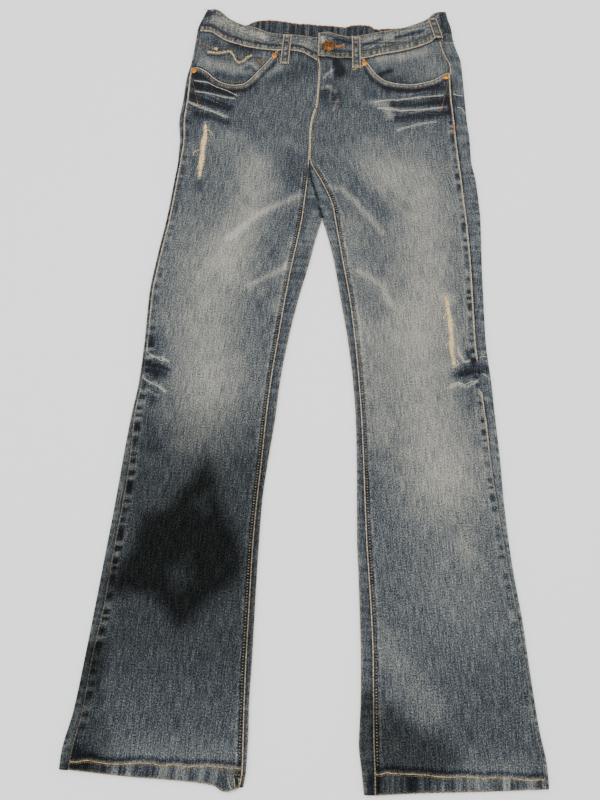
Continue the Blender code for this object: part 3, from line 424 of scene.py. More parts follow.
class Leg:
    """One side of the garment: sign is -1 for the wearer's right and 1 for the left."""

    def __init__(self, sign, side, inside, rise, hem, creases, fine, fade, soil, rip, mouth, band):
        self.sign = sign
        self.outer_fold = smooth_line([(row.y, row.fold) for row in side])
        self.outseam = smooth_line([(row.y, row.seam) for row in side])
        self.inner_fold = smooth_line([(row.y, row.fold) for row in inside])
        inseam = [(row.y, row.seam) for row in inside[:-1]] + [(s.y, s.x) for s in rise]
        self.inseam = smooth_line(inseam)
        self.rise_top = rise[-1].y
        self.hem = smooth_line([(spot.x, spot.y) for spot in hem])
        self.creases, self.fine, self.fade, self.soil = creases, fine, fade, soil
        self.rip, self.rip_line = rip, upward(rip)
        self.mouth, self.mouth_end = across(mouth), mouth[-1] if sign < 0 else mouth[0]
        self.band_seam = across(band)

    def inner_edge(self, y):
        """The front's inner edge: the inseam, then the centre front."""
        return np.where(y < self.rise_top, self.inseam(y), centre_front(y))

    def top_edge(self, x):
        """The front's upper edge: the pocket mouth, then the waistband seam."""
        past = self.sign * (x - self.mouth_end.x) > 0
        return np.where(past, self.mouth(x), self.band_seam(x) - SEAM_GAP)


centre_front = upward(CENTRE_FRONT)
band_seam_back = bent(BAND_SEAM_BACK)
RIGHT = Leg(-1, RIGHT_SIDE, RIGHT_INSIDE, RIGHT_RISE, HEM_RIGHT, CREASES_RIGHT,
            FINE_CREASES_RIGHT, FADE_AND_SHADE_RIGHT, PAINTED_SHADOW_RIGHT, RIP_RIGHT, MOUTH_RIGHT, BAND_SEAM_RIGHT)
LEFT = Leg(1, LEFT_SIDE, LEFT_INSIDE, LEFT_RISE, HEM_LEFT, CREASES_LEFT,
           FINE_CREASES_LEFT, FADE_AND_SHADE_LEFT, PAINTED_SHADOW_LEFT, RIP_LEFT, MOUTH_LEFT, BAND_SEAM_LEFT)
LEGS = {"right": RIGHT, "left": LEFT}


def hem_share(y):
    """1 in the turned hem, 0 above it."""
    return 1.0 - smoothstep(4.0, 12.0, y)


def half_wall(y):
    """Half a leg's cloth, which is thicker in the hem."""
    return mix(WALL, HEM_WALL, hem_share(y)) / 2


def under(y):
    """Middle of the ply that lies on the floor or on the back pockets."""
    return half_wall(y) + REST_HIP * smoothstep(775, 845, y)


def crease_height(creases, x, y):
    """The highest crease at each point, and the deepest trough."""
    high, low = np.zeros(np.shape(x)), np.zeros(np.shape(x))
    for crease in creases:
        lift = crease.height * bell(distance(crease.spots, x, y), crease.width)
        high, low = np.maximum(high, lift), np.minimum(low, lift)
    return high + low


def on_top(leg, x, y):
    """Middle of the upper ply at a point, without what the pockets and fly add."""
    from_fold = leg.sign * (leg.outer_fold(y) - x)
    from_gap = np.where(y < APEX[1], leg.sign * (x - leg.inner_fold(y)),
                        np.hypot(x - APEX[0], y - APEX[1]))
    near_fold = 1.0 - smoothstep(FOLD_DEPTH + WALL, FOLD_REACH, np.minimum(from_fold, from_gap))
    flat = LAYER + 1.0 * hem_share(y)
    billow = 0.35 + 0.35 * np.sin(x * 0.031 + y * 0.017) * np.cos(y * 0.023 - x * 0.012)
    lift = (billow + crease_height(leg.creases, x, y)) * (1.0 - 0.6 * smoothstep(945, 990, y))
    lift = lift + crease_height(leg.fine, x, y) * 0.5
    over_band = 0.8 * smoothstep(-14, -3, y - band_seam_back(x))
    height = under(y) + mix(flat, FOLD_HEIGHT, near_fold)
    return height + lift * (1.0 - 0.6 * near_fold) + over_band * (1.0 - near_fold)


def over_ply(leg, x, y, lift):
    """Places of threads above the middle of the upper ply."""
    return raised(x, y, on_top(leg, x, y) + lift)


def front_height(leg, x, y):
    """Middle of a front: it rides over the pocket's ply, and the left one over the fly."""
    past_end = np.maximum(0.0, leg.sign * (leg.mouth_end.x - x))
    on_line = x + leg.sign * past_end
    slope = (leg.mouth(on_line + 1) - leg.mouth(on_line - 1)) / 2
    away = np.hypot(past_end, (leg.mouth(on_line) - y) / np.hypot(1.0, slope))
    height = on_top(leg, x, y) + 1.3 * (1.0 - smoothstep(12, 28, away))
    if leg.sign > 0:
        height = height + 1.0 * (1.0 - smoothstep(20, 44, x)) * smoothstep(930, 965, y)
    return height


def stops(*runs):
    """Places from run to run, each given as (start, end, step)."""
    found = [np.linspace(a, b, max(2, round((b - a) / s) + 1))[:-1] for a, b, s in runs]
    return np.concatenate(found + [[runs[-1][1]]])


def linear(colour):
    """An sRGB hex colour as scene-linear RGBA."""
    parts = [int(colour[i:i + 2], 16) / 255 for i in (1, 3, 5)]
    return [p / 12.92 if p <= 0.04045 else ((p + 0.055) / 1.055) ** 2.4 for p in parts] + [1.0]


def node(tree, kind, settings=None, **inputs):
    """Add a node; inputs are numbers, colours or sockets, keyed by name with _ for a space."""
    made = tree.nodes.new(kind)
    for name, value in (settings or {}).items():
        setattr(made, name, value)
    for name, value in inputs.items():
        key = int(name[1:]) if name[0] == "i" and name[1:].isdigit() else name.replace("_", " ")
        if isinstance(value, bpy.types.NodeSocket):
            tree.links.new(value, made.inputs[key])
        else:
            made.inputs[key].default_value = value
    return made


def ramp(tree, factor, colours):
    """A colour ramp from (place, hex colour) pairs."""
    made = node(tree, "ShaderNodeValToRGB", Fac=factor)
    while len(made.color_ramp.elements) < len(colours):
        made.color_ramp.elements.new(0.5)
    for element, (place, colour) in zip(made.color_ramp.elements, colours):
        element.position = place
        element.color = linear(colour)
    return made.outputs["Color"]


def new_material(name):
    """A material, its tree and its shader."""
    made = bpy.data.materials.new(name)
    made.use_nodes = True
    return made, made.node_tree, made.node_tree.nodes["Principled BSDF"]


def denim(name, faded="#73726b", grain=1.0):
    """Worn denim. One attribute runs from raw indigo to bleached grey and carries the fading and
    rubbing, and painted shade in creases, folds and seams; uneven warp streaks and pale weft flecks
    break it up, and a twill bump roughens it. Tan is scuffed seam edge. Another attribute lays a
    painted cast shadow, which darkens the cloth and takes away its shine."""
    made, tree, shader = new_material(name)
    weave = node(tree, "ShaderNodeUVMap", {"uv_map": "cloth"}).outputs["UV"]
    wear = node(tree, "ShaderNodeAttribute", {"attribute_name": "wear"}).outputs["Fac"]
    noises = []
    for scale, amount in (((560, 48, 1), 0.60), ((640, 500, 1), 1.05), ((1100, 800, 1), 0.90),
                          ((60, 30, 1), 0.15)):
        stretched = node(tree, "ShaderNodeMapping", Vector=weave, Scale=scale).outputs["Vector"]
        noise = node(tree, "ShaderNodeTexNoise", Vector=stretched, Scale=1.0, Detail=1.5)
        noises.append(noise.outputs["Fac"])
        centred = node(tree, "ShaderNodeMath", {"operation": "SUBTRACT"}, i0=noises[-1], i1=0.5)
        wear = node(tree, "ShaderNodeMath", {"operation": "MULTIPLY_ADD"},
                    i0=centred.outputs[0], i1=amount * grain, i2=wear).outputs[0]
    within = node(tree, "ShaderNodeMath", {"operation": "MULTIPLY_ADD"}, i0=wear, i1=0.7, i2=0.1)
    colour = ramp(tree, within.outputs[0], [(0.1, "#06070a"), (0.24, "#171b21"),
                                            (0.38, "#30363d"), (0.52, "#515657"),
                                            (0.66, faded), (0.8, "#928e82"), (1.0, "#b3afa2")])
    tan = node(tree, "ShaderNodeAttribute", {"attribute_name": "tan"}).outputs["Fac"]
    scuff = ramp(tree, noises[1], [(0.35, "#7a6850"), (0.5, "#b3a384"), (0.65, "#ddd2b8")])
    edged = node(tree, "ShaderNodeMix", {"data_type": "RGBA"}, i0=tan, i6=colour, i7=scuff)
    # Painted cast shadow: the cloth is multiplied down to a dark olive grey and loses its shine
    # there
    soil = node(tree, "ShaderNodeAttribute", {"attribute_name": "soil"}).outputs["Fac"]
    shadow_tint = node(tree, "ShaderNodeMix", {"data_type": "RGBA", "blend_type": "MULTIPLY"},
                i0=soil, i6=edged.outputs[2], i7=linear("#3c3c2b"))
    shine_outside_shadow = node(tree, "ShaderNodeMath", {"operation": "MULTIPLY_ADD"}, i0=soil, i1=-0.2, i2=0.2)
    tree.links.new(shine_outside_shadow.outputs[0], shader.inputs["Specular IOR Level"])
    twill = node(tree, "ShaderNodeTexWave", {"bands_direction": "DIAGONAL"}, Vector=weave,
                 Scale=170.0, Distortion=0.6, Detail=1.0)
    height = node(tree, "ShaderNodeMath", {"operation": "MULTIPLY_ADD"},
                  i0=noises[1], i1=1.5, i2=twill.outputs["Fac"])
    bump = node(tree, "ShaderNodeBump", Strength=0.5, Distance=0.0006, Height=height.outputs[0])
    tree.links.new(shadow_tint.outputs[2], shader.inputs["Base Color"])
    tree.links.new(bump.outputs["Normal"], shader.inputs["Normal"])
    shader.inputs["Roughness"].default_value = 0.88
    shader.inputs["Sheen Weight"].default_value = 0.05
    shader.inputs["Sheen Roughness"].default_value = 0.5
    return made


def cloth(name, x, y, z, finish, wall=WALL, keep=None, hem=False, node_name=None, slot=None,
          **tones):
    """Sew grids of points, in millimetres, into a sheet with its wall, tones and weave.

    keep is False where a cell has no cloth. The weave's UV runs in metres across and along.
    """
    rows, columns = x.shape
    if (x[0, -1] - x[0, 0]) * (y[-1, 0] - y[0, 0]) < 0:
        x, y, z = x[:, ::-1], y[:, ::-1], z[:, ::-1]
        tones = {key: value[:, ::-1] for key, value in tones.items()}
        keep = None if keep is None else keep[:, ::-1]
    place = np.stack([x, y, z], -1).reshape(-1, 3) * MM + np.array(LAID)
    number = np.arange(rows * columns).reshape(rows, columns)
    rings = np.stack([number[:-1, :-1], number[:-1, 1:], number[1:, 1:], number[1:, :-1]], -1)
    rings = rings[keep] if keep is not None else rings.reshape(-1, 4)
    used = np.unique(rings)
    renumber = np.full(rows * columns, -1)
    renumber[used] = np.arange(len(used))
    mesh = bpy.data.meshes.new(name)
    mesh.from_pydata(place[used].tolist(), [], renumber[rings].tolist())
    steps = np.hypot(np.diff(x, axis=1, prepend=x[:, :1]), np.diff(z, axis=1, prepend=z[:, :1]))
    run = np.cumsum(steps, 1)
    weave = np.stack([run - run[:, -1:] / 2, y], -1).reshape(-1, 2)[used] * MM
    corners = np.zeros(len(mesh.loops), int)
    mesh.loops.foreach_get("vertex_index", corners)
    mesh.uv_layers.new(name="cloth").data.foreach_set("uv", weave[corners].ravel())
    for key in ("wear", "tan", "soil"):
        value = np.clip(tones.get(key, np.zeros(x.shape)), 0.0, 1.0).reshape(-1)[used]
        mesh.attributes.new(key, "FLOAT", "POINT").data.foreach_set("value", value)
    mesh.materials.append(finish)
    mesh.shade_smooth()
    made = put(name, mesh)
    solidify = made.modifiers.new("wall", "SOLIDIFY")
    solidify.thickness = (HEM_WALL if hem else wall) * MM
    solidify.offset = 0.0
    if hem:
        group = made.vertex_groups.new(name="hem")
        for i, share in enumerate(hem_share(y.reshape(-1)[used])):
            group.add([i], float(share), "REPLACE")
        solidify.vertex_group = "hem"
        solidify.thickness_vertex_group = WALL / HEM_WALL
    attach(made, "root")
    if node_name:
        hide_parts(node_name)
    return made


def start_tree(name, inputs):
    """A Geometry Nodes tree with these inputs after the geometry, and its group input's sockets."""
    tree = bpy.data.node_groups.new(name, "GeometryNodeTree")
    for label, kind in (("Geometry", "Geometry"), *inputs, ("Material", "Material")):
        tree.interface.new_socket(label, in_out="INPUT", socket_type="NodeSocket" + kind)
    tree.interface.new_socket("Geometry", in_out="OUTPUT", socket_type="NodeSocketGeometry")
    return tree, tree.nodes.new("NodeGroupInput").outputs


def end_tree(tree, geometry, material):
    """Smooth the pieces, give them their material and hand them out."""
    smooth = node(tree, "GeometryNodeSetShadeSmooth", Geometry=geometry)
    dyed = node(tree, "GeometryNodeSetMaterial", Geometry=smooth.outputs[0], Material=material)
    node(tree, "NodeGroupOutput", Geometry=dyed.outputs[0])
    return tree


def points_on_lines(tree, lines, spacing):
    """Evenly spaced points on lines, with a turn that faces each along its line."""
    curve = node(tree, "GeometryNodeMeshToCurve", Mesh=lines)
    spaced = node(tree, "GeometryNodeResampleCurve", {"mode": "LENGTH"},
                  Curve=curve.outputs[0], Length=spacing)
    tangent = node(tree, "GeometryNodeInputTangent")
    facing = node(tree, "FunctionNodeAlignRotationToVector", {"axis": "X", "pivot_axis": "Z"},
                  Vector=tangent.outputs[0])
    return spaced.outputs[0], facing.outputs[0]


def turned(tree, facing, angle):
    """Turn further about the vertical, by an angle in radians."""
    turn = node(tree, "FunctionNodeAxisAngleToRotation", Axis=(0, 0, 1), Angle=angle)
    return node(tree, "FunctionNodeRotateRotation", {"rotation_space": "LOCAL"},
                Rotation=facing, Rotate_By=turn.outputs[0]).outputs[0]


def between(tree, low, high, seed):
    """A random number for each point."""
    return node(tree, "FunctionNodeRandomValue", {"data_type": "FLOAT"},
                i2=low, i3=high, Seed=seed).outputs[1]


def sewing_tree():
    """Stitches along lines: small ellipsoids, a few uneven in length and direction."""
    tree, given = start_tree("sewing", [("Spacing", "Float"), ("Length", "Float"),
                                        ("Width", "Float"), ("Turn", "Float"), ("Seed", "Int")])
    points, facing = points_on_lines(tree, given["Geometry"], given["Spacing"])
    stitch = node(tree, "GeometryNodeMeshUVSphere", Segments=6, Rings=4, Radius=0.5)
    uneven = node(tree, "ShaderNodeMath", {"operation": "MULTIPLY"}, i0=given["Length"],
                  i1=between(tree, 0.75, 1.1, given["Seed"]))
    size = node(tree, "ShaderNodeCombineXYZ", X=uneven.outputs[0], Y=given["Width"],
                Z=given["Width"])
    askew = node(tree, "ShaderNodeMath", {"operation": "ADD"}, i0=given["Turn"],
                 i1=between(tree, -0.14, 0.14, given["Seed"]))
    placed = node(tree, "GeometryNodeInstanceOnPoints", Points=points, Instance=stitch.outputs[0],
                  Rotation=turned(tree, facing, askew.outputs[0]), Scale=size.outputs[0])
    real = node(tree, "GeometryNodeRealizeInstances", Geometry=placed.outputs[0])
    return end_tree(tree, real.outputs[0], given["Material"])


def yarn(tree, curve, given):
    """Make curves into thin tubes that wander a little."""
    place = node(tree, "GeometryNodeInputPosition")
    noise = node(tree, "ShaderNodeTexNoise", {"noise_dimensions": "4D"}, Vector=place.outputs[0],
                 W=given["Seed"], Scale=330.0)
    centred = node(tree, "ShaderNodeVectorMath", {"operation": "SUBTRACT"},
                   i0=noise.outputs["Color"], i1=(0.5, 0.5, 0.5))
    shift = node(tree, "ShaderNodeVectorMath", {"operation": "SCALE"},
                 i0=centred.outputs[0], Scale=given["Wobble"])
    moved = node(tree, "GeometryNodeSetPosition", Geometry=curve, Offset=shift.outputs[0])
    ring = node(tree, "GeometryNodeCurvePrimitiveCircle", Resolution=5, Radius=given["Radius"])
    tube = node(tree, "GeometryNodeCurveToMesh", Curve=moved.outputs[0],
                Profile_Curve=ring.outputs[0], Fill_Caps=True)
    return end_tree(tree, tube.outputs[0], given["Material"])


def cord_tree():
    """One yarn along each line."""
    tree, given = start_tree("cords", [("Wobble", "Float"), ("Radius", "Float"), ("Seed", "Int")])
    curve = node(tree, "GeometryNodeMeshToCurve", Mesh=given["Geometry"])
    return yarn(tree, curve.outputs[0], given)


def strand_tree():
    """Yarns laid across lines, as long as the lines' reach plus a random part of Extra."""
    tree, given = start_tree("strands", [("Spacing", "Float"), ("Extra", "Float"),
                                         ("Spread", "Float"), ("Wobble", "Float"),
                                         ("Radius", "Float"), ("Seed", "Int")])
    points, facing = points_on_lines(tree, given["Geometry"], given["Spacing"])
    strand = node(tree, "GeometryNodeCurvePrimitiveLine", Start=(0, -0.5, 0), End=(0, 0.5, 0))
    reach = node(tree, "GeometryNodeInputNamedAttribute", {"data_type": "FLOAT"}, Name="reach")
    length = node(tree, "ShaderNodeMath", {"operation": "MULTIPLY_ADD"}, i0=given["Extra"],
                  i1=between(tree, 0.0, 1.0, given["Seed"]), i2=reach.outputs[0])
    size = node(tree, "ShaderNodeCombineXYZ", X=1.0, Y=length.outputs[0], Z=1.0)
    askew = node(tree, "ShaderNodeMath", {"operation": "MULTIPLY"}, i0=given["Spread"],
                 i1=between(tree, -1.0, 1.0, given["Seed"]))
    placed = node(tree, "GeometryNodeInstanceOnPoints", Points=points, Instance=strand.outputs[0],
                  Rotation=turned(tree, facing, askew.outputs[0]), Scale=size.outputs[0])
    real = node(tree, "GeometryNodeRealizeInstances", Geometry=placed.outputs[0])
    fine = node(tree, "GeometryNodeResampleCurve", Curve=real.outputs[0], Count=6)
    return yarn(tree, fine.outputs[0], given)


def grown(name, tree, lines, finish, reach=None, **settings):
    """Run a tree on lines of points, in millimetres, and keep the plain mesh that it gives."""
    places = np.concatenate(lines) * MM + np.array(LAID)
    starts = np.cumsum([0] + [len(line) for line in lines[:-1]])
    edges = [(start + i, start + i + 1) for start, line in zip(starts, lines)
             for i in range(len(line) - 1)]
    mesh = bpy.data.meshes.new(name + "_lines")
    mesh.from_pydata(places.tolist(), edges, [])
    reach = np.zeros(len(places)) if reach is None else np.asarray(reach) * MM
    mesh.attributes.new("reach", "FLOAT", "POINT").data.foreach_set("value", reach)
    made = put(name, mesh)
    grow = made.modifiers.new("grow", "NODES")
    grow.node_group = tree
    settings["Material"] = finish
    for item in tree.interface.items_tree:
        if item.in_out == "INPUT" and item.name in settings:
            grow[item.identifier] = settings[item.name]
    evaluated = made.evaluated_get(bpy.context.evaluated_depsgraph_get())
    plain = bpy.data.meshes.new_from_object(evaluated)
    made.modifiers.clear()
    made.data = plain
    plain.name = name
    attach(made, "root")
    return made


def route(spots, step=2.0):
    """Places every step, in millimetres, on a smooth line through spots."""
    spots = np.array(spots, float)
    run = np.append(0, np.cumsum(np.hypot(*np.diff(spots, axis=0).T)))
    at = np.linspace(0, run[-1], max(3, round(run[-1] / step) + 1))
    return tuple(smooth_line(list(zip(run, spots[:, k])))(at) for k in (0, 1))


def beside(x, y, off):
    """The line that runs off millimetres to the left of a line, looking along it."""
    run_x, run_y = np.gradient(x), np.gradient(y)
    size = np.hypot(run_x, run_y)
    return x - off * run_y / size, y + off * run_x / size


def raised(x, y, level):
    """Places along a line or over a grid, at a height."""
    return np.stack([x, y, np.broadcast_to(level, np.shape(x))], -1)


def thread(name, colour, fibre):
    """Spun thread: matt, with darker and paler stretches a few millimetres long."""
    made, tree, shader = new_material(name)
    place = node(tree, "ShaderNodeTexCoord").outputs["Object"]
    noise = node(tree, "ShaderNodeTexNoise", Vector=place, Scale=420.0, Detail=2.0)
    tree.links.new(ramp(tree, noise.outputs["Fac"], [(0.36, fibre), (0.62, colour)]),
                   shader.inputs["Base Color"])
    shader.inputs["Roughness"].default_value = 0.8
    shader.inputs["Specular IOR Level"].default_value = 0.25
    return made


# Stitch sizes in metres: step along the row, length, width and turn across the row
Stitch = namedtuple("Stitch", "step length width turn")
TOPSTITCH = Stitch(0.0034, 0.0028, 0.0010, 0.0)
HEAVY_STITCH = Stitch(0.0040, 0.0030, 0.0024, 0.0)
FINE_STITCH = Stitch(0.0026, 0.0020, 0.0006, 0.0)
TICKS = Stitch(0.0037, 0.0024, 0.0011, math.pi / 2)
BARTACK = Stitch(0.0009, 0.0030, 0.0009, math.pi / 2)
FINE_TACK = Stitch(0.0009, 0.0016, 0.0008, math.pi / 2)
ROLL_TICKS = Stitch(0.0042, 0.0022, 0.0007, math.pi / 2)
ZIP_TEETH = Stitch(0.0021, 0.0012, 0.0021, math.pi / 2)
BUTTONHOLE = Stitch(0.0010, 0.0024, 0.0009, math.pi / 2)
LOOP_STITCH = Stitch(0.0032, 0.0027, 0.0016, 0.0)
LOOP_TACK = Stitch(0.0011, 0.0024, 0.0009, math.pi / 2)
THREAD_LIFT = 0.15
sewing, cords, strands = sewing_tree(), cord_tree(), strand_tree()
brown_thread = thread("topstitch_brown", "#775839", "#43321f")
umber_thread = thread("band_row_umber", "#4d3c24", "#261d13")
tan_thread = thread("seam_thread_tan", "#c6ab7c", "#7d6446")
orange_thread = thread("bartack_orange", "#cf7d28", "#8a4d1c")
olive_thread = thread("topstitch_olive", "#75683a", "#403a26")
gold_thread = thread("topstitch_gold", "#a87e3a", "#64491f")
bleached_thread = thread("bleached_fibre", "#c2bba4", "#8d8976")
rubbed_thread = thread("rubbed_fold_tan", "#a79a7b", "#5d5644")
cream_yarn = thread("rip_weft_cream", "#ffdf98", "#f8c978")


def sewn(name, lines, finish, stitch, seed=1):
    return grown(name, sewing, lines, finish, Spacing=stitch.step, Length=stitch.length,
                 Width=stitch.width, Turn=stitch.turn, Seed=seed)


def corded(name, lines, finish, radius, wobble=0.0, seed=1):
    return grown(name, cords, lines, finish, Wobble=wobble * MM, Radius=radius * MM, Seed=seed)


def frayed(name, lines, finish, radius, spacing, reach, extra, spread=0.1, wobble=0.8, seed=1):
    """Strands across lines: reach is each point's least length, and extra the most added to it."""
    return grown(name, strands, lines, finish, reach=reach, Spacing=spacing * MM,
                 Extra=extra * MM, Spread=spread, Wobble=wobble * MM, Radius=radius * MM,
                 Seed=seed)


def front_grid(leg):
    """Points of a front, from the hem's edge up, and from the outseam in."""
    sign, gap = leg.sign, leg.sign * SEAM_GAP / 2
    rip_at = {-1: (0.125, 0.21), 1: (0.165, 0.25)}[sign]
    shares = stops((0, 0.012, 0.004), (0.012, 0.05, 0.0076), (0.05, rip_at[0], 0.015),
                   (*rip_at, 0.005), (rip_at[1], 0.94, 0.0146), (0.94, 0.988, 0.0076),
                   (0.988, 1.0, 0.004))
    low_rip, high_rip = leg.rip[-1].y - 4, leg.rip[0].y + 4
    if sign < 0:
        levels = stops((HEM_TOP, 470, 3.4), (470, 560, 2.6), (560, low_rip, 3.4),
                       (low_rip, high_rip, 1.4), (high_rip, STRAIGHT_TO, 2.6))
    else:
        levels = stops((HEM_TOP, 470, 3.4), (470, low_rip, 2.6), (low_rip, high_rip, 1.4),
                       (high_rip, 895, 3.4), (895, STRAIGHT_TO, 2.6))
    hem = stops((0, 1, 0.055))[:-1]
    share = shares[None, :]
    hem_y = mix(leg.hem(share), HEM_TOP, hem[:, None])
    y = np.concatenate([hem_y, np.repeat(levels[:, None], len(shares), 1)])
    s = np.repeat(share, len(y), 0)
    x = mix(leg.outseam(y) - gap, leg.inner_edge(y) + gap, s)
    step = stops((0, 0.6, 0.022), (0.6, 0.9, 0.015), (0.9, 1.0, 0.0065))[1:, None]
    low = mix(leg.outseam(STRAIGHT_TO), centre_front(STRAIGHT_TO), share)
    high = mix(leg.outseam(SIDE_TOP[sign]), centre_front(1026), share)
    upper = mix(low, high, step) + gap * (2 * share - 1)
    outer = leg.outseam(mix(STRAIGHT_TO, SIDE_TOP[sign], step)) - gap - upper[:, :1]
    inner = centre_front(mix(STRAIGHT_TO, 1028, step)) + gap - upper[:, -1:]
    upper = upper + outer * np.clip(1 - share * 12, 0, 1) + inner * np.clip(share * 12 - 11, 0, 1)
    x = np.concatenate([x, upper])
    y = np.concatenate([y, mix(STRAIGHT_TO, leg.top_edge(high), step)])
    return x, y, np.repeat(share, len(y), 0)


def rip_half(leg, y):
    """Half a rip's ragged width at each height."""
    top, bottom = leg.rip[0].y, leg.rip[-1].y
    share = np.clip((y - bottom) / (top - bottom), 0, 1)
    half = RIP_WIDTH[leg.sign] / 2 * (0.25 + 0.75 * np.sin(math.pi * share) ** 0.6)
    half = half * (0.78 + 0.24 * np.sin(y * 0.19 + 1.2 * leg.sign))
    return half * (1 + 0.2 * np.sin(y * 1.1) + 0.14 * np.sin(y * 2.7 + 1))


def rip_open(leg, x, y):
    """How far inside a rip's ragged edge each point is, in millimetres."""
    between_ends = (y > leg.rip[-1].y) & (y < leg.rip[0].y)
    return np.where(between_ends, rip_half(leg, y) - np.abs(x - leg.rip_line(y)), -1.0)


def hem_wave(leg, x):
    """How far the turned hem's fold wanders from level."""
    return 1.3 * ripple(x, 5 + leg.sign, 58) + 0.4 * ripple(x, 1, 21)


def front_tones(leg, x, y, from_out, from_in, from_top):
    """Fading, rubbing and painted shade, tan scuffs and the painted cast shadow of a front."""
    sign = leg.sign
    wear = 0.47 + wear_and_shade_at(leg.fade, x, y)
    # Painted shade over the lower right leg and by the left hem, at the edge of the painted cast
    # shadow
    wear -= 0.05 * smoothstep(440, 360, y) if sign < 0 else 0.04 * smoothstep(220, 60, y)
    hip = WHISKERS[sign]
    line = y - hip.y - hip.slope * (x - hip.x) + 1.5 * np.sin(x * 0.11)
    window = np.exp(-((x - hip.x) / hip.width) ** 4 - ((y - hip.y) / hip.height) ** 4)
    strength = 0.5 + 0.5 * np.sin(x * 0.06 + line * 0.21)
    wear += window * (0.20 * ripple(line, 3, 6.5) * strength + 0.09 * ripple(line, 5, 3.1) - 0.03)
    # The felled inseam: shadow beside its edge, then a lighter, speckled row
    felled = smoothstep(832, 818, y) if sign < 0 else smoothstep(846, 836, y)
    wear -= 0.33 * bell(from_in - 4.2, 3.0, 4) * felled * (0.8 - 0.4 * ripple(y, 1, 7))
    wear += 0.24 * bell(from_in - 8.8, 2.0) * felled * (0.6 + 0.6 * ripple(y, 6, 8))
    # The busted outseam leaves uneven pale and dark blocks beside it
    block = ripple(y, 4 + sign, 16)
    if sign < 0:
        reach = bell(from_out - 5.4, 4.8 + 1.3 * ripple(y, 2, 37), 4)
        wear += reach * BUSTED[sign](y) * (0.42 * block - 0.07)
    else:
        reach = bell(from_out - 5.4, 3.6 + 0.9 * ripple(y, 2, 37), 4)
        wear += reach * BUSTED[sign](y) * np.where(block < 0, 0.48, 0.16) * block
    wear += 0.10 * bell(from_out - 11, 3.0) * BUSTED[sign](y)
    # Pocket mouth: two rows of sewing with a pale ridge between, and a painted shadow below;
    # painted shade also runs under the waistband seam past the mouth
    mouth = (sign * (x - leg.mouth_end.x) > -2) * 1.0
    wear += mouth * (0.26 + 0.10 * ripple(x, 7)) * bell(from_top - 4.6, 2.0)
    wear -= mouth * 0.30 * bell(from_top - 10.5, 3.0)
    wear -= (1 - mouth) * 0.20 * bell(from_top, 6)
    # The turned hem and the shadow above it
    wave = hem_wave(leg, x)
    hem = smoothstep(5, 2, y - wave)
    wear += hem * (0.20 * ripple(x, 2 + sign, 27) + 0.13 * ripple(x, 6, 8.5) - 0.05)
    wear -= 0.34 * bell(y - wave - 7.0, 2.6)
    # The paler ring round the rip, then the rubbed edges of mouth, inseam, outseam, hem and rip
    rip = rip_open(leg, x, y)
    wear += 0.16 * bell(distance(leg.rip, x, y), 6)
    tan = mouth * 0.9 * bell(from_top, 1.3)
    # Near the crotch the right inseam's edge runs under: no tan edge there, and painted shade in
    # its place
    buried = 0.85 * bell(y - 829, 13, 4) if sign < 0 else 0.0
    tan += 0.95 * bell(from_in, 1.3, 4) * (1 - buried)
    wear -= 0.5 * bell(from_in, 2.2) * buried
    rubbed = RUBBED[sign](y)
    tan += bell(from_out, mix(1.3, 2.0, rubbed), 4) * rubbed * (0.86 + 0.14 * ripple(y, 5, 40))
    tan += 0.22 * bell(y - wave - 3.0, 1.4)
    lowest = leg.hem(np.clip(np.abs(x - leg.outseam(0)) / 215, 0, 1))
    tan += 0.5 * bell(y - lowest, 1.6) * (0.6 + 0.4 * ripple(x, 3 + sign, 33))
    tan += 0.7 * bell(np.minimum(rip, 0), 0.8) * (rip_half(leg, y) > 1.2)
    return {"wear": wear, "tan": tan, "soil": soiled(leg.soil, x, y)}


# How strongly the outseam is worn into blocks at each height
BUSTED = {-1: smooth_line([(0, 0.5), (120, 0.8), (300, 1.0), (520, 0.9), (620, 0.35), (900, 0.3),
                           (960, 0.0)]),
          1: smooth_line([(0, 0.1), (150, 0.3), (300, 0.8), (560, 1.0), (880, 0.9), (960, 0.2)])}
# How plainly the outseam's rubbed edge shows at each height
RUBBED = {-1: smooth_line([(0, 0.30), (470, 0.40), (512, 0.15), (535, 0.15), (546, 0.7),
                           (560, 0.3), (590, 0.7), (940, 0.95)]),
          1: smooth_line([(0, 0.20), (380, 0.24), (450, 0.75), (492, 0.80), (500, 0.0),
                          (538, 0.0), (547, 0.85), (1000, 1.0)])}
FLY_ROWS = {
    "fly_curve": (brown_thread, TOPSTITCH,
                  through((-9, 973.6), (4.6, 979.5), (16.9, 985.2), (24.5, 992.6), (30.5, 1003.5),
                          (33, 1022))),
    "loop_foot_row": (tan_thread, BARTACK, through((41.7, 1008.0), (48.6, 1011.4), (57.8, 1016.5))),
    "fly_bartack": (orange_thread, FINE_TACK, through((11.6, 950.7), (20.9, 951))),
    "fly_foot_bartack": (brown_thread, FINE_TACK, through((-16.5, 941.8), (-8.8, 929.9))),
}
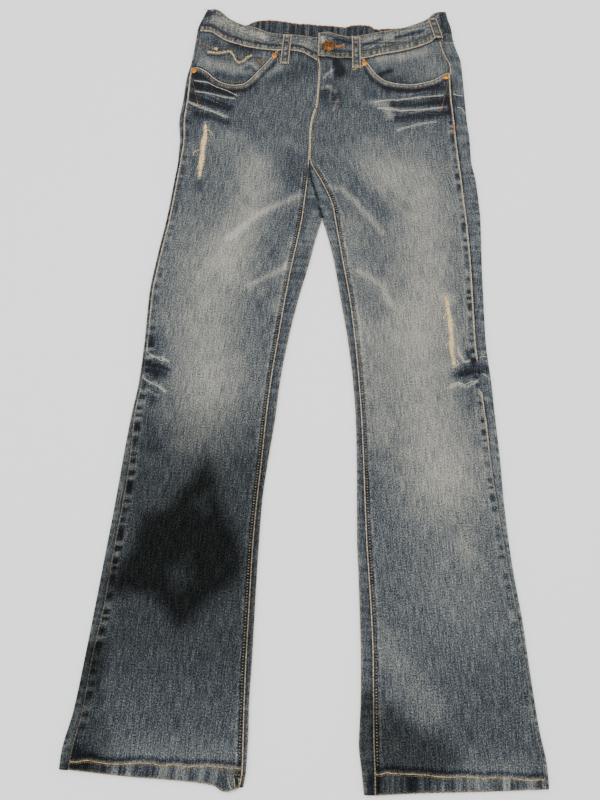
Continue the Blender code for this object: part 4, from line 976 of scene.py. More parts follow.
# Bleached fibres along the sharpest ridges of the hips and knees
RIDGES = {
    -1: [through((-240.6, 537.9), (-232.4, 532.5), (-225.9, 530.4), (-221.1, 527.1), (-212.1, 528)),
         through((-242.8, 499.8), (-234.7, 495.2), (-229.1, 492.2), (-220.7, 488.3),
                 (-211.2, 481.6)),
         through((-205.5, 979), (-188.7, 977.5), (-170.7, 969.5), (-152.9, 962.6), (-136.6, 954.6)),
         through((-203.4, 959.8), (-189.1, 959.4), (-173, 956.1), (-155.3, 950.8), (-139.4, 949.6)),
         through((-208.9, 938.1), (-196.8, 934.1), (-183.9, 928.9), (-169.4, 924.5),
                 (-152.4, 916.3))],
    1: [through((200.3, 554.8), (204, 549), (207.7, 541.9), (211.5, 540.4), (215.3, 542.2)),
        through((189.1, 507), (202.3, 510.5), (208.5, 508.1), (219.9, 512.8), (227.4, 512.1)),
        through((227.8, 502.4), (230.9, 498.7), (233.6, 496.6)),
        through((230.3, 547.1), (234.4, 549.5), (241.9, 548.9)),
        through((234.5, 525), (239.5, 520.9), (245, 516.4)),
        through((108.8, 955.7), (125, 959), (147.2, 963.9), (166.4, 965.9), (182.7, 967.4)),
        through((80.9, 941), (98.6, 943.3), (116.3, 939), (139.9, 939.9), (160.5, 943.1),
                (181.1, 946.1)),
        through((77.8, 952.6), (89.6, 955.5), (107.3, 957)),
        through((203.9, 947.6), (210.5, 944.2), (214.1, 937.7)),
        through((197.6, 971.3), (203.4, 968.1), (212.3, 966.8))],
}
# The right hem's curled inner corner: its row of sewing and the rims of its folds
HEM_CORNER = [through((-99, -6.5), (-88, -6.0), (-76, -5.7)),
              through((-94, -9), (-92, -16), (-89, -22)),
              through((-86, -9), (-85, -17), (-83, -24)),
              through((-80, -9), (-79.5, -15), (-79, -20))]
# A loose thread on each hip, brown and then orange
HIP_THREADS = {
    -1: [through((-210.5, 985), (-203, 962), (-198.2, 943)),
         through((-198.2, 943), (-194.3, 930.6))],
    1: [through((190, 997), (185, 968), (181, 953)), through((181, 953), (176, 938))],
}
STRAYS = {
    -1: [through((-185, 861), (-191, 860), (-197, 856), (-198, 850)),
         through((-179, 895), (-173, 891), (-171, 886)),
         through((-186, 836), (-190, 832), (-189, 827))],
    1: [through((192, 541), (196, 535), (201, 538), (199, 543)),
        through((186, 612), (181, 609), (180, 604)),
        through((189, 570), (184, 566), (184, 560))],
}


def on_front(leg, x, y):
    """Places of threads on a front's surface."""
    return raised(x, y, front_height(leg, x, y) + half_wall(y) + THREAD_LIFT)


def front_sewing(side, leg):
    """Felled inseam, hem, pocket mouth and hip threads, and the left front's fly."""
    sign = leg.sign
    levels = np.arange(12.0, 824.0 if sign < 0 else 840.0, 2.5)
    seam = leg.inner_edge(levels)
    hem_x = np.linspace(leg.outseam(0) - 2 * sign, leg.inner_edge(0) + 2 * sign, 90)
    hem_y = hem_wave(leg, hem_x)
    low_share = np.linspace(0.02, 0.98, 80)
    low_x = mix(leg.outseam(0), leg.inner_edge(0), low_share)
    ends = sorted([leg.mouth_end.x - 4 * sign, leg.outseam(SIDE_TOP[sign]) - 2 * sign])
    mouth_x = np.linspace(*ends, 60)
    rows = [
        ("inseam_ticks_", rubbed_thread, TICKS, [on_front(leg, seam + sign * 4.6, levels)]),
        ("inseam_rows_", brown_thread, FINE_STITCH, [on_front(leg, seam + sign * 1.6, levels)]),
        ("hem_row_", gold_thread, FINE_STITCH, [on_front(leg, hem_x, hem_y)]),
        ("pocket_mouth_rows_", brown_thread, TOPSTITCH,
         [on_front(leg, *beside(mouth_x, leg.mouth(mouth_x), -2.2)),
          on_front(leg, *beside(mouth_x[3:-3], leg.mouth(mouth_x[3:-3]), -8.0))]),
    ]
    made = [sewn(name + side, lines, finish, stitch) for name, finish, stitch, lines in rows]
    made.append(corded("hem_rim_" + side, [on_front(leg, hem_x, hem_y + 2.2)], rubbed_thread, 0.6,
                       wobble=1.2))
    made.append(frayed("hem_fray_" + side, [on_front(leg, low_x, leg.hem(low_share) + 0.4)],
                       rubbed_thread, 0.3, 1.5, low_x * 0 + 0.8, 2.0, spread=0.7))
    made.append(corded("bleached_ridges_" + side, [on_front(leg, *route(line, 1.5)) - (0, 0, 0.2)
                                                   for line in RIDGES[sign]], bleached_thread,
                       0.45, wobble=0.9))
    if sign < 0:
        made.append(sewn("hem_corner_row", [on_front(leg, *route(HEM_CORNER[0]))], gold_thread,
                         TOPSTITCH))
        made.append(corded("hem_corner_folds", [on_front(leg, *route(line))
                                                for line in HEM_CORNER[1:]], rubbed_thread, 0.6,
                           wobble=1.0))
    for name, finish, line in zip(("hip_thread_", "hip_thread_end_"),
                                  (brown_thread, orange_thread), HIP_THREADS[sign]):
        made.append(corded(name + side, [on_front(leg, *route(line))], finish, 0.42, wobble=1.0))
    if sign > 0:
        made += [sewn(name, [on_front(leg, *route(line, 1.5))], finish, stitch)
                 for name, (finish, stitch, line) in FLY_ROWS.items()]
        edge = np.arange(848.0, 1026.0, 2.0)
        made.append(sewn("fly_edge_row", [on_front(leg, centre_front(edge) + 2.0, edge)],
                         brown_thread, TOPSTITCH))
        low = edge[edge < 925]
        made.append(sewn("front_seam_row", [on_front(leg, centre_front(low) + 6.5, low)],
                         brown_thread, TOPSTITCH))
        tack = np.linspace(904.0, 919.0, 8)
        made.append(sewn("outseam_bartack", [on_front(leg, leg.outseam(tack) - 2.0, tack)],
                         orange_thread, BARTACK))
    return made


def rip_yarns(side, leg):
    """The weft left across a rip where the warp wore away, and yarns that hang out of it."""
    levels = np.arange(leg.rip[-1].y - 1.0, leg.rip[0].y + 2.0, 1.0)
    line = raised(leg.rip_line(levels), levels, front_height(leg, leg.rip_line(levels), levels))
    weft = [frayed("rip_weft_%s_%d" % (side, layer), [line + (0, 0, lift)], cream_yarn, 0.34, 0.8,
                   fill * rip_half(leg, levels), extra, spread=spread, wobble=1.1, seed=layer)
            for layer, lift, fill, extra, spread in ((1, 0.3, 2.0, 2.6, 0.3),
                                                     (2, 0.7, 1.1, 4.8, 0.6))]
    beyond = np.arange(leg.rip[-1].y - 5.0, leg.rip[0].y + 6.0, 1.0)
    line = raised(leg.rip_line(beyond), beyond, front_height(leg, leg.rip_line(beyond), beyond))
    weft.append(frayed("rip_fray_" + side, [line + (0, 0, 0.9)], bleached_thread, 0.28, 1.3,
                       1.6 * rip_half(leg, beyond), 7.5, spread=0.9, wobble=2.0, seed=5))
    loose = [on_front(leg, *route(spots, 1.2)) for spots in STRAYS[leg.sign]]
    return weft + [corded("rip_strays_" + side, loose, cream_yarn, 0.3, wobble=1.5)]


front_denim = denim("washed_denim_front", grain=1.15)
for side, leg in LEGS.items():
    x, y, share = front_grid(leg)
    lean = np.gradient(leg.outseam(y[:, 0]), y[:, 0])[:, None]
    from_out = leg.sign * (leg.outseam(y) - x) / np.hypot(1, lean)
    from_in = np.abs(x - leg.inner_edge(y)) / np.hypot(1, 0.15)
    slope = (leg.top_edge(x + 1) - leg.top_edge(x - 1)) / 2
    from_top = np.clip(leg.top_edge(x) - y, 0, None) / np.hypot(1, slope)
    z = front_height(leg, x, y)
    z += 0.28 * bell(from_in - 5, 4) * ripple(y, 1, 7)
    z += 0.30 * bell(from_out, 9, 4) * ripple(y, 4 + leg.sign, 19)
    z += 0.25 * smoothstep(5, 2, y) * ripple(x, 2 + leg.sign, 24)
    open_at = rip_open(leg, x, y)
    centre = (open_at[:-1, :-1] + open_at[1:, :-1] + open_at[:-1, 1:] + open_at[1:, 1:]) / 4
    panel = cloth("front_panel_" + side, x, y, z, front_denim, keep=centre < 0, hem=True,
                  node_name="front_" + side, slot="denim_front",
                  **front_tones(leg, x, y, from_out, from_in, from_top))
    pieces = front_sewing(side, leg) + rip_yarns(side, leg)

# Back panels
# Each back wraps round both folds to meet the front, so its edges show beyond the seams, and the
# two meet over the crotch. The flat underside has its own wear at the seat and knees.
SEAT_SEAM = through((1, 754), (-6, 783), (-14.5, 808), (-20, 829), (-21.4, 843))
SEAT_SIDE = {-1: 205.0, 1: 197.0}
YOKE_SEAM = through((-SEAT_SIDE[-1], 1052), (0, 990), (SEAT_SIDE[1], 1061))
ARC_STEPS, STRIP_STEPS, FLAT_STEPS = 8, 5, 26
BACK_WEAR = marked(WearAndShade,
    (0.26, 45, (-108, 905), (-112, 860)),
    (0.26, 45, (108, 905), (112, 860)),
    (0.22, 50, (-130, 760), (-160, 420)),
    (0.22, 50, (130, 760), (160, 420)),
    (0.20, 6, (-40, 812), (-88, 822), (-140, 826)),
    (0.20, 6, (40, 812), (92, 820), (144, 826)),
    (0.16, 6, (-120, 560), (-166, 552), (-208, 560)),
    (0.16, 6, (110, 552), (160, 560), (206, 552)))
seat_seam, yoke_seam = upward(SEAT_SEAM), bent(YOKE_SEAM)


def fold_arc(leg, edge, y, outward, low, high):
    """Points round a side fold, from the upper ply down to the lower one."""
    turn = np.linspace(0, math.pi, ARC_STEPS + 1)
    x = edge - outward * (half_wall(y) + FOLD_DEPTH * (1.0 - np.sin(turn)))
    return x, mix(low, high, 0.5 + 0.5 * np.cos(turn))


def side_points(leg, y):
    """Points from the lower ply round the outer fold to the outseam."""
    edge = leg.outer_fold(y)
    x_in = edge - leg.sign * (half_wall(y) + FOLD_DEPTH)
    x, z = fold_arc(leg, edge, y, leg.sign, under(y), on_top(leg, x_in, y))
    seam = leg.outseam(y) + leg.sign * SEAM_GAP / 2
    wrap = mix(x_in, seam, np.arange(1, STRIP_STEPS + 1) / STRIP_STEPS)
    return np.concatenate([x[::-1], wrap]), np.concatenate([z[::-1], on_top(leg, wrap, y)])


def back_row(leg, y_in, y_out, crotch):
    """One row of a back, from the inner seam under to the outseam, with gaps as NaN."""
    sign, gap = leg.sign, leg.sign * SEAM_GAP / 2
    out_x, out_z = side_points(leg, y_out)
    seam = leg.inner_edge(y_in) - gap
    run = np.arange(STRIP_STEPS) / STRIP_STEPS
    if crotch == "leg":
        edge = leg.inner_fold(y_in) + (gap if y_in == APEX[1] else 0.0)
        x_in = edge + sign * (half_wall(y_in) + FOLD_DEPTH)
        arc_x, arc_z = fold_arc(leg, edge, y_in, -sign, under(y_in), on_top(leg, x_in, y_in))
        strip = mix(seam, x_in, run)
        in_x = np.concatenate([strip, arc_x])
        in_z = np.concatenate([on_top(leg, strip, y_in), arc_z])
    else:
        flat_x = mix(APEX[0], 0, smoothstep(754, 900, y_in)) + gap
        in_x = np.full(STRIP_STEPS + ARC_STEPS + 1, np.nan)
        in_z = in_x.copy()
        if crotch == "flap":
            strip = mix(seam, seat_seam(y_in) + gap, np.arange(STRIP_STEPS + 1) / STRIP_STEPS)
            in_x[:STRIP_STEPS + 1] = strip
            in_z[:STRIP_STEPS + 1] = on_top(leg, strip, y_in)
        in_x[-1], in_z[-1] = flat_x, under(y_in)
    start, end = in_x[-1], out_x[0]
    flat = mix(start, end, np.arange(1, FLAT_STEPS) / FLAT_STEPS)

    def level(x):
        return mix(y_in, y_out, np.clip((x - start) / (end - start), 0, 1))

    x = np.concatenate([in_x, flat, out_x])
    y = level(np.nan_to_num(x, nan=start))
    y[:STRIP_STEPS + 1] = y_in
    z = np.concatenate([in_z, under(level(flat)), out_z])
    return x, y, z


def grid(rows):
    """Rows of (x, y, z) points as three grids."""
    return [np.array([row[k] for row in rows]) for k in range(3)]


def back_rows(leg):
    """Points of a back, row by row from the hem to the yoke."""
    flap_top = 829.0 if leg.sign < 0 else 843.0
    rows = [back_row(leg, mix(leg.hem(1.0), HEM_TOP, t), mix(leg.hem(0.0), HEM_TOP, t), "leg")
            for t in stops((0, 1, 0.09))[:-1]]
    rows += [back_row(leg, y, y, "leg") for y in stops((HEM_TOP, APEX[1], 4.2))]
    rows += [back_row(leg, y, y, "flap") for y in stops((APEX[1], flap_top, 4))[1:]]
    rows += [back_row(leg, y, y, "seat") for y in stops((flap_top, STRAIGHT_TO, 6))[1:]]
    side_top = yoke_seam(leg.sign * SEAT_SIDE[leg.sign]) - SEAM_GAP / 2
    middle_top = yoke_seam(0) - SEAM_GAP / 2
    for t in stops((0, 1, 0.06))[1:]:
        at_side, at_middle = mix(STRAIGHT_TO, side_top, t), mix(STRAIGHT_TO, middle_top, t)
        x, _, z = back_row(leg, at_side, at_side, "seat")
        y = mix(at_middle, at_side, np.clip(np.abs(np.nan_to_num(x)) / SEAT_SIDE[leg.sign], 0, 1))
        y[-len(side_points(leg, at_side)[0]):] = at_side
        flat = slice(STRIP_STEPS + ARC_STEPS, STRIP_STEPS + ARC_STEPS + FLAT_STEPS)
        z[flat] = under(y[flat])
        rows.append((x, y, z))
    return grid(rows)


def solid_cells(x):
    """Cells of a grid whose four corners all have cloth."""
    there = ~np.isnan(x)
    return there[:-1, :-1] & there[1:, :-1] & there[:-1, 1:] & there[1:, 1:]


def on_underside(x, y):
    """Places of threads under a back or a yoke."""
    return raised(x, y, under(y) - half_wall(y) + THREAD_LIFT)


def back_sewing(side, leg):
    """Rows under a back: hem, inseam and centre seam."""
    sign = leg.sign
    inner = np.arange(14.0, 740.0, 4.0)
    middle = np.arange(766.0, 980.0, 4.0)
    across_hem = np.linspace(leg.inner_fold(0) + sign * 6, leg.outer_fold(0) - sign * 6, 60)
    rows = [
        ("back_hem_row_", orange_thread, TOPSTITCH, on_underside(across_hem, across_hem * 0)),
        ("back_inseam_row_", brown_thread, TOPSTITCH,
         on_underside(leg.inner_fold(inner) + sign * 8, inner)),
        ("back_centre_row_", brown_thread, TOPSTITCH, on_underside(middle * 0 + sign * 3, middle)),
    ]
    return [sewn(name + side, [line], finish, stitch) for name, finish, stitch, line in rows]


# Of each leg's last fading and shading marks, the backs' strips beside the seams share the narrow
# and the dark ones, a little weaker; the dark ones include painted shade in the crease troughs
SHARED_MARKS = 36
NARROW = 10
DARK = -0.25
back_denim = denim("washed_denim_back", faded="#6f706c")
for side, leg in LEGS.items():
    x, y, z = back_rows(leg)
    keep = solid_cells(x)
    x, z = np.nan_to_num(x), np.nan_to_num(z)
    top = z > 3.0
    wear = 0.40 + wear_and_shade_at(BACK_WEAR, x, y) * ~top + (0.12 + 0.10 * ripple(y * 0.9, 6)) * top
    wear += 0.22 * bell(np.abs(x - leg.outer_fold(y)) - 2, 2.5) * ripple(y * 0.8, 8)
    wear += 0.25 * smoothstep(5, 2, y) * ripple(x, 2 + leg.sign, 24)
    beside_seam = leg.sign * (x - leg.outseam(y))
    # Painted shade in the gaps beside the outseam and inseam, and a painted shadow line along the
    # seat seam where the two backs meet; then the inner strip a little darker lower down
    wear -= 0.34 * RUBBED[leg.sign](y) * bell(beside_seam, 2.2) * top * (y < 1000)
    inner_side = leg.sign * (leg.inner_edge(y) - x)
    wear -= 0.26 * bell(inner_side, 2.4) * top * (y < 850)
    wear -= 0.45 * bell(x - seat_seam(y), 1.9) * top * (y > 756) * (y < 850)
    wear -= 0.07 * smoothstep(0, 4, inner_side) * top * (y < 700)
    low_strip = smoothstep(0, 3, beside_seam) * top * smoothstep(480, 430, y)
    wear += low_strip * mix(0.10 * smoothstep(270, 310, y), 0.09, leg.sign > 0)
    tan = 0.5 * bell(np.abs(x - leg.inner_fold(y)), 2.0) * (y < 754)
    tan *= 0.5 + 0.5 * ripple(y * 0.7, 3)
    # Painted cast shadow on the backs' strips that show beside the fronts
    soil = soiled(leg.soil, x, y) * top
    for mark in leg.fade[-SHARED_MARKS:]:
        if mark.width < NARROW or mark.amount < DARK:
            wear += 0.6 * wear_and_shade_at([mark], x, y) * top
    panel = cloth("back_panel_" + side, x, y, z, back_denim, keep=keep, hem=True,
                  node_name="back_" + side, slot="denim_back", wear=wear, tan=tan, soil=soil)
    back_sewing(side, leg)

# Yokes
# The shaped strips above the seat seam, which join the backs to the waistband.
BAND_SIDE = {-1: (1068.3, 1108.0), 1: (1079.5, 1117.5)}
for side, leg in LEGS.items():
    gap = SEAM_GAP / 2
    at_side = yoke_seam(leg.sign * SEAT_SIDE[leg.sign]) + gap
    rows = []
    for step in stops((0, 1, 0.07)):
        run = leg.sign * np.append(gap, np.linspace(0, SEAT_SIDE[leg.sign] - 12, 30)[1:])
        level = mix(yoke_seam(run) + gap, band_seam_back(run) - gap, step)
        out_y = mix(at_side, BAND_SIDE[leg.sign][0] - gap, step)
        out_x, out_z = side_points(leg, out_y)
        rows.append((np.concatenate([run, out_x]), np.concatenate([level, out_x * 0 + out_y]),
                     np.concatenate([under(level), out_z])))
    x, y, z = grid(rows)
    share = np.linspace(0, 1, len(x))[:, None] + 0 * x
    wear = 0.40 + 0.2 * ripple(x * 0.9, 2) * bell(share, 0.15) + 0.1 * (z < 3)
    strip = cloth("yoke_cloth_" + side, x, y, z, back_denim, node_name="yoke_" + side,
                  slot="denim_back", wear=wear, tan=0.6 * bell(share, 0.05))
    row_x = leg.sign * np.linspace(4, 196, 60)
    rows = [on_underside(row_x, yoke_seam(row_x) + off) for off in (2.4, 7.4)]
    seam = sewn("yoke_rows_" + side, rows, brown_thread, TOPSTITCH)

# Back pockets
# Plain patch pockets under the seat, which the garment rests on; no stitching design on them.
# Half widths at foot and mouth, the point's height, and how far the mouth rises to the side.
POCKET_MIDDLE = 104
POCKET_LOW, POCKET_HIGH = 62, 72
POCKET_POINT = 855
POCKET_TILT = 8
for side, leg in LEGS.items():
    share, rise = np.meshgrid(stops((0, 0.06, 0.03), (0.06, 0.94, 0.04), (0.94, 1, 0.03)),
                              stops((0, 0.06, 0.03), (0.06, 0.86, 0.05), (0.86, 1, 0.03)))
    middle = leg.sign * POCKET_MIDDLE
    widening = np.clip(rise / 0.12, 0, 1) * 0.12 + 0.88 * np.clip((rise - 0.12) / 0.88, 0, 1)
    x = middle + mix(POCKET_LOW, POCKET_HIGH, widening) * (2 * share - 1)
    point = POCKET_POINT + 22 * np.abs(2 * share - 1) ** 1.5
    y = mix(point, 996 + POCKET_TILT * leg.sign * (x - middle) / POCKET_HIGH, rise)
    edge = np.minimum(np.minimum(share, 1 - share) * 140, np.minimum(rise, 1 - rise) * 130)
    wear = 0.52 + 0.16 * bell(edge - 5, 4) * ripple(x + y, 5)
    patch = cloth("back_pocket_cloth_" + side, x, y, x * 0 + WALL / 2, back_denim,
                  node_name="back_pocket_" + side, slot="denim_back", wear=wear,
                  tan=0.5 * bell(edge, 1.5))
    rows = []
    for inset in (2.5, 8.0):
        sides = through((inset - POCKET_HIGH, 990), (inset - POCKET_LOW, 877 + inset),
                        (0, POCKET_POINT + inset), (POCKET_LOW - inset, 877 + inset),
                        (POCKET_HIGH - inset, 990))
        for start, end in zip(sides, sides[1:]):
            run = np.linspace(0, 1, 30)
            rows.append(raised(middle + mix(start.x, end.x, run), mix(start.y, end.y, run),
                               THREAD_LIFT))
    mouth = np.linspace(-69, 69, 40)
    rows.append(raised(middle + mouth, 984 + POCKET_TILT * leg.sign * mouth / POCKET_HIGH,
                       THREAD_LIFT))
    seam = sewn("back_pocket_rows_" + side, rows, brown_thread, TOPSTITCH)

# Pocket facings
# The ply seen behind each pocket mouth: paler below the band, with painted shade in the fold at the
# mouth.
FACING_WALL = 1.0
BAND_TOP_RIGHT = through((-189, 1109), (-182, 1110.5), (-174, 1107.5), (-155, 1092), (-132, 1082),
                         (-111, 1077), (-94, 1070.5), (-75, 1068), (-53, 1067.5), (-14, 1063))
BAND_TOP_LEFT = through((-15, 1070), (1.5, 1073), (16, 1068), (36, 1065.5), (52, 1070), (83, 1078),
                        (119.5, 1087), (152, 1101), (172.5, 1115), (188, 1119.5))
band_top = {-1: across(BAND_TOP_RIGHT), 1: across(BAND_TOP_LEFT)}
FACING_WEAR_AND_SHADE = {
    -1: marked(WearAndShade,
        (0.14, 14, (-180, 1008), (-150, 1000), (-120, 1008)),
        (-0.16, 11, (-208, 1004), (-190, 992)),
        (-0.12, 10, (-190, 1052), (-150, 1040), (-118, 1034)),
        (0.22, 2.0, (-112, 1016), (-103, 1010), (-99, 1003)),
        (0.20, 2.0, (-116, 1010), (-110, 1004)),
        # Painted shadow just under the waistband seam
        (-0.22, 6, (-150, 1046), (-120, 1040))),
    1: marked(WearAndShade,
        (0.22, 8, (80, 1030), (120, 1036), (150, 1044)),
        (0.08, 14, (158, 1030), (168, 1010)),
        # Painted shade in the facing's crease and in its shadowed lower corner
        (-0.42, 3.4, (82.4, 999.7), (90.5, 1006.1), (101.7, 1009.9)),
        (-0.16, 12, (84, 1000), (120, 992))),
}
# The left side seam's pale edge above the rivet, and the rows that cross it
SIDE_RIM = through((177.7, 1063.6), (180.3, 1051.8), (183.6, 1041.5), (188.9, 1030.5),
                   (193.3, 1020.4), (194.2, 1005))
SIDE_ROWS = [through((181.6, 1056.4), (190.9, 1060.6), (199.7, 1064.0)),
             through((182.9, 1073.5), (189.6, 1076.6), (195.6, 1079.1))]


def facing_grid(leg):
    """Points of the facing, from its lower edge up to the band, and from the side in."""
    sign = leg.sign
    inner = leg.mouth_end.x + sign * 5.0
    rise = stops((0, 1, 0.045))[:, None]
    outer = leg.outseam(BAND_SIDE[sign][0]) - sign * SEAM_GAP / 2
    high_x = mix(outer, inner, np.linspace(0, 1, 40))[None, :]
    low_x = inner + (high_x - inner) * 1.05
    x = mix(low_x, high_x, rise)
    y = mix(leg.mouth(low_x) - 6.0, leg.band_seam(high_x) - SEAM_GAP, rise)
    side_y = mix(SIDE_TOP[sign] - 6.0, BAND_SIDE[sign][0] - 0.6, rise)
    share = np.clip(1 - np.linspace(0, 12, 40), 0, 1)[None, :]
    return mix(x, leg.outseam(side_y) - sign * 0.35, share), mix(y, side_y, share)


facing_denim = denim("washed_denim_facing", grain=1.15)
for side, leg in LEGS.items():
    x, y = facing_grid(leg)
    z = on_top(leg, x, y) - 0.25
    wear = 0.51 + wear_and_shade_at(FACING_WEAR_AND_SHADE[leg.sign], x, y)
    # Painted shade in the fold at the mouth, and a painted shadow line just under the waistband
    # seam
    wear -= 0.22 * bell(y - leg.mouth(x), 3.5)
    wear -= 0.38 * bell(leg.band_seam(x) - y, 2.2)
    ply = cloth("pocket_facing_cloth_" + side, x, y, z, facing_denim, wall=FACING_WALL,
                node_name="pocket_facing_" + side, slot="denim_facing", wear=wear)
    rims = []
    if leg.sign > 0:
        rim_x, rim_y = route(SIDE_RIM)
        rims = [corded("side_seam_rim", [over_ply(leg, rim_x, rim_y, 1.0)],
                       tan_thread, 0.7, wobble=0.8)]
        for number, spots in enumerate(SIDE_ROWS):
            row_x, row_y = route(spots)
            rims.append(sewn("side_row_%d" % number, [over_ply(leg, row_x, row_y, 0.9)],
                             brown_thread, TOPSTITCH))

# Coin pocket
# A patch inside the right pocket, whose wavy mouth is rolled over a small brass zip. The zip's
# slider stays the CAD piece, in worn brass.


def metal(name, colour, tarnish, roughness):
    """Aged metal: dark tarnish in shallow dents, bright on the rubbed parts."""
    made, tree, shader = new_material(name)
    place = node(tree, "ShaderNodeTexCoord").outputs["Object"]
    noise = node(tree, "ShaderNodeTexNoise", Vector=place, Scale=520.0, Detail=2.0)
    tree.links.new(ramp(tree, noise.outputs["Fac"], [(0.38, tarnish), (0.56, colour)]),
                   shader.inputs["Base Color"])
    bump = node(tree, "ShaderNodeBump", Strength=0.6, Distance=0.0006,
                Height=noise.outputs["Fac"])
    tree.links.new(bump.outputs["Normal"], shader.inputs["Normal"])
    shader.inputs["Metallic"].default_value = 1.0
    shader.inputs["Roughness"].default_value = roughness
    return made


def refinish(node_name, finish):
    """Give a CAD node that stays a finer material."""
    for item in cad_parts[node_name].material_slots:
        item.material = finish


COIN_MOUTH = through((-196, 1040), (-188, 1031), (-171, 1029.5), (-162, 1031.5), (-153.5, 1033),
                     (-147.6, 1027.5), (-143, 1018.6), (-137.5, 1013.5), (-131, 1016.3),
                     (-124, 1023.8), (-117.7, 1027.6), (-104, 1028))
wavy = across(COIN_MOUTH)
rise, share = np.meshgrid(stops((0, 0.9, 0.05), (0.9, 1, 0.02)), np.linspace(0, 1, 90),
                          indexing="ij")
x = mix(mix(-203, -196, rise), mix(-96, -104, rise), share)
y = mix(RIGHT.mouth(x) + 2.6, wavy(x), rise)
z = on_top(RIGHT, x, y) + 1.3
COIN_WEAR = marked(WearAndShade,
    (0.16, 12, (-192, 1016), (-160, 1006), (-120, 1000)),
    (-0.14, 6, (-190, 1024), (-165, 1020), (-150, 1018)),
    (-0.30, 4, (-126, 1003), (-118, 1006), (-112, 1000)),
    (0.24, 1.8, (-125, 1014), (-116, 1012), (-110, 1004)),
    (-0.22, 7, (-170, 992), (-140, 984), (-120, 990)))
# Darker just under the rolled mouth: painted shade below the roll
wear = 0.53 + wear_and_shade_at(COIN_WEAR, x, y) - 0.28 * bell(wavy(x) - 4 - y, 2.0)
coin = cloth("coin_pocket_cloth", x, y, z, facing_denim, wall=FACING_WALL,
             node_name="coin_pocket", slot="denim_facing", wear=wear)
mouth_x, mouth_y = route(COIN_MOUTH[1:-1], 1.0)
level = on_top(RIGHT, mouth_x, mouth_y) + 1.9
roll_cloth = thread("rolled_mouth_tan", "#bfb193", "#6f6450")
zip_metal = metal("zip_brass_worn", "#dccaa0", "#54401f", 0.30)
refinish("coin_zip_slider", zip_metal)
zip_x, zip_y = beside(mouth_x, mouth_y, 3.4)
below_x, below_y = beside(mouth_x, mouth_y, -2.6)
low_x, low_y = route(through((-154, 980.6), (-143, 978), (-131, 979.7)))
end_x, end_y = route(through((-110, 1025), (-98, 1012)), 1.0)
facing_level = on_top(RIGHT, end_x, end_y) + 2.1
tab_x, tab_y = route(through((-202, 1041), (-196, 1043), (-190, 1040)), 1.0)
coin_pieces = [
    corded("coin_pocket_roll", [raised(mouth_x, mouth_y, level)], roll_cloth, 1.5, wobble=0.8),
    sewn("coin_pocket_roll_ticks", [raised(mouth_x, mouth_y, level + 1.1)], brown_thread,
         ROLL_TICKS),
    sewn("coin_pocket_row", [over_ply(RIGHT, below_x, below_y, 2.0)],
         tan_thread, FINE_STITCH),
    sewn("coin_zip_teeth", [over_ply(RIGHT, zip_x, zip_y, 0.7)], zip_metal,
         ZIP_TEETH),
    corded("coin_zip_tape", [raised(zip_x, zip_y + 1.4, on_top(RIGHT, zip_x, zip_y) + 0.4)],
           thread("zip_tape_dark", "#3a3128", "#17140f"), 1.2),
    sewn("coin_pocket_olive_row", [over_ply(RIGHT, low_x, low_y, 2.0)],
         olive_thread, TOPSTITCH),
    sewn("coin_pocket_end_rows", [raised(end_x, end_y, facing_level),
                                  raised(end_x - 3.4, end_y - 2.6, facing_level)],
         brown_thread, BARTACK),
    sewn("coin_zip_end_tack", [over_ply(RIGHT, tab_x, tab_y, 0.6)],
         brown_thread, BARTACK),
]

# Waistband
# Two fronts, the button end under the left one, and the back, whose inside shows above them.
# Each is a doubled strip, so its wall is thicker, and the fronts rest on the back.
BAND_WALL = 2.0
BAND_HEIGHT = 40
BAND_MIDDLE = 1050
BAND_REST = 5.1
BAND_BACK_HEIGHT = REST_HIP + BAND_WALL / 2
BAND_TOP_BACK = through((-197, 1106), (-186, 1104), (-160, 1091), (-130, 1084), (-113, 1091),
                        (-90, 1094), (-57, 1090), (-23.5, 1088), (5.6, 1086.7), (26, 1085),
                        (39, 1089), (64, 1090), (78, 1083), (99, 1085.4), (115.6, 1086),
                        (150, 1094), (175, 1108), (189, 1116))
BAND_WEAR = {
    -1: marked(WearAndShade,
        (0.24, 8, (-180, 1094), (-140, 1073), (-100, 1062)),
        (0.30, 3, (-104, 1067), (-101, 1060)),
        (-0.35, 9, (-204, 1100), (-190, 1100)),
        (-0.18, 5, (-70, 1060), (-66, 1044)),
        (0.16, 4, (-46, 1054), (-26, 1048))),
    1: marked(WearAndShade,
        (0.22, 8, (64, 1060), (110, 1072), (150, 1086)),
        (-0.45, 3, (58, 1053), (76, 1060), (84, 1064)),
        (-0.50, 3, (108, 1068), (132, 1076), (150, 1082)),
        (0.45, 4, (-9, 1062), (-4, 1050)),
        (-0.28, 8, (18, 1058), (34, 1056)),
        (-0.30, 7, (192, 1100), (188, 1112)),
        (-0.2, 6, (12, 1036), (34, 1034))),
}
band_top_back = across(BAND_TOP_BACK)


def band_height(sign, x, y):
    """Middle of the front waistband: the left end laps over the right one."""
    leg = RIGHT if sign < 0 else LEFT
    from_fold = sign * (leg.outer_fold(y) - x)
    near_side = 1.0 - smoothstep(FOLD_DEPTH + WALL, FOLD_REACH, from_fold)
    lap = 2.4 * (1.0 - smoothstep(24, 62, x)) if sign > 0 else 0.0
    return BAND_REST + 1.2 * near_side + lap


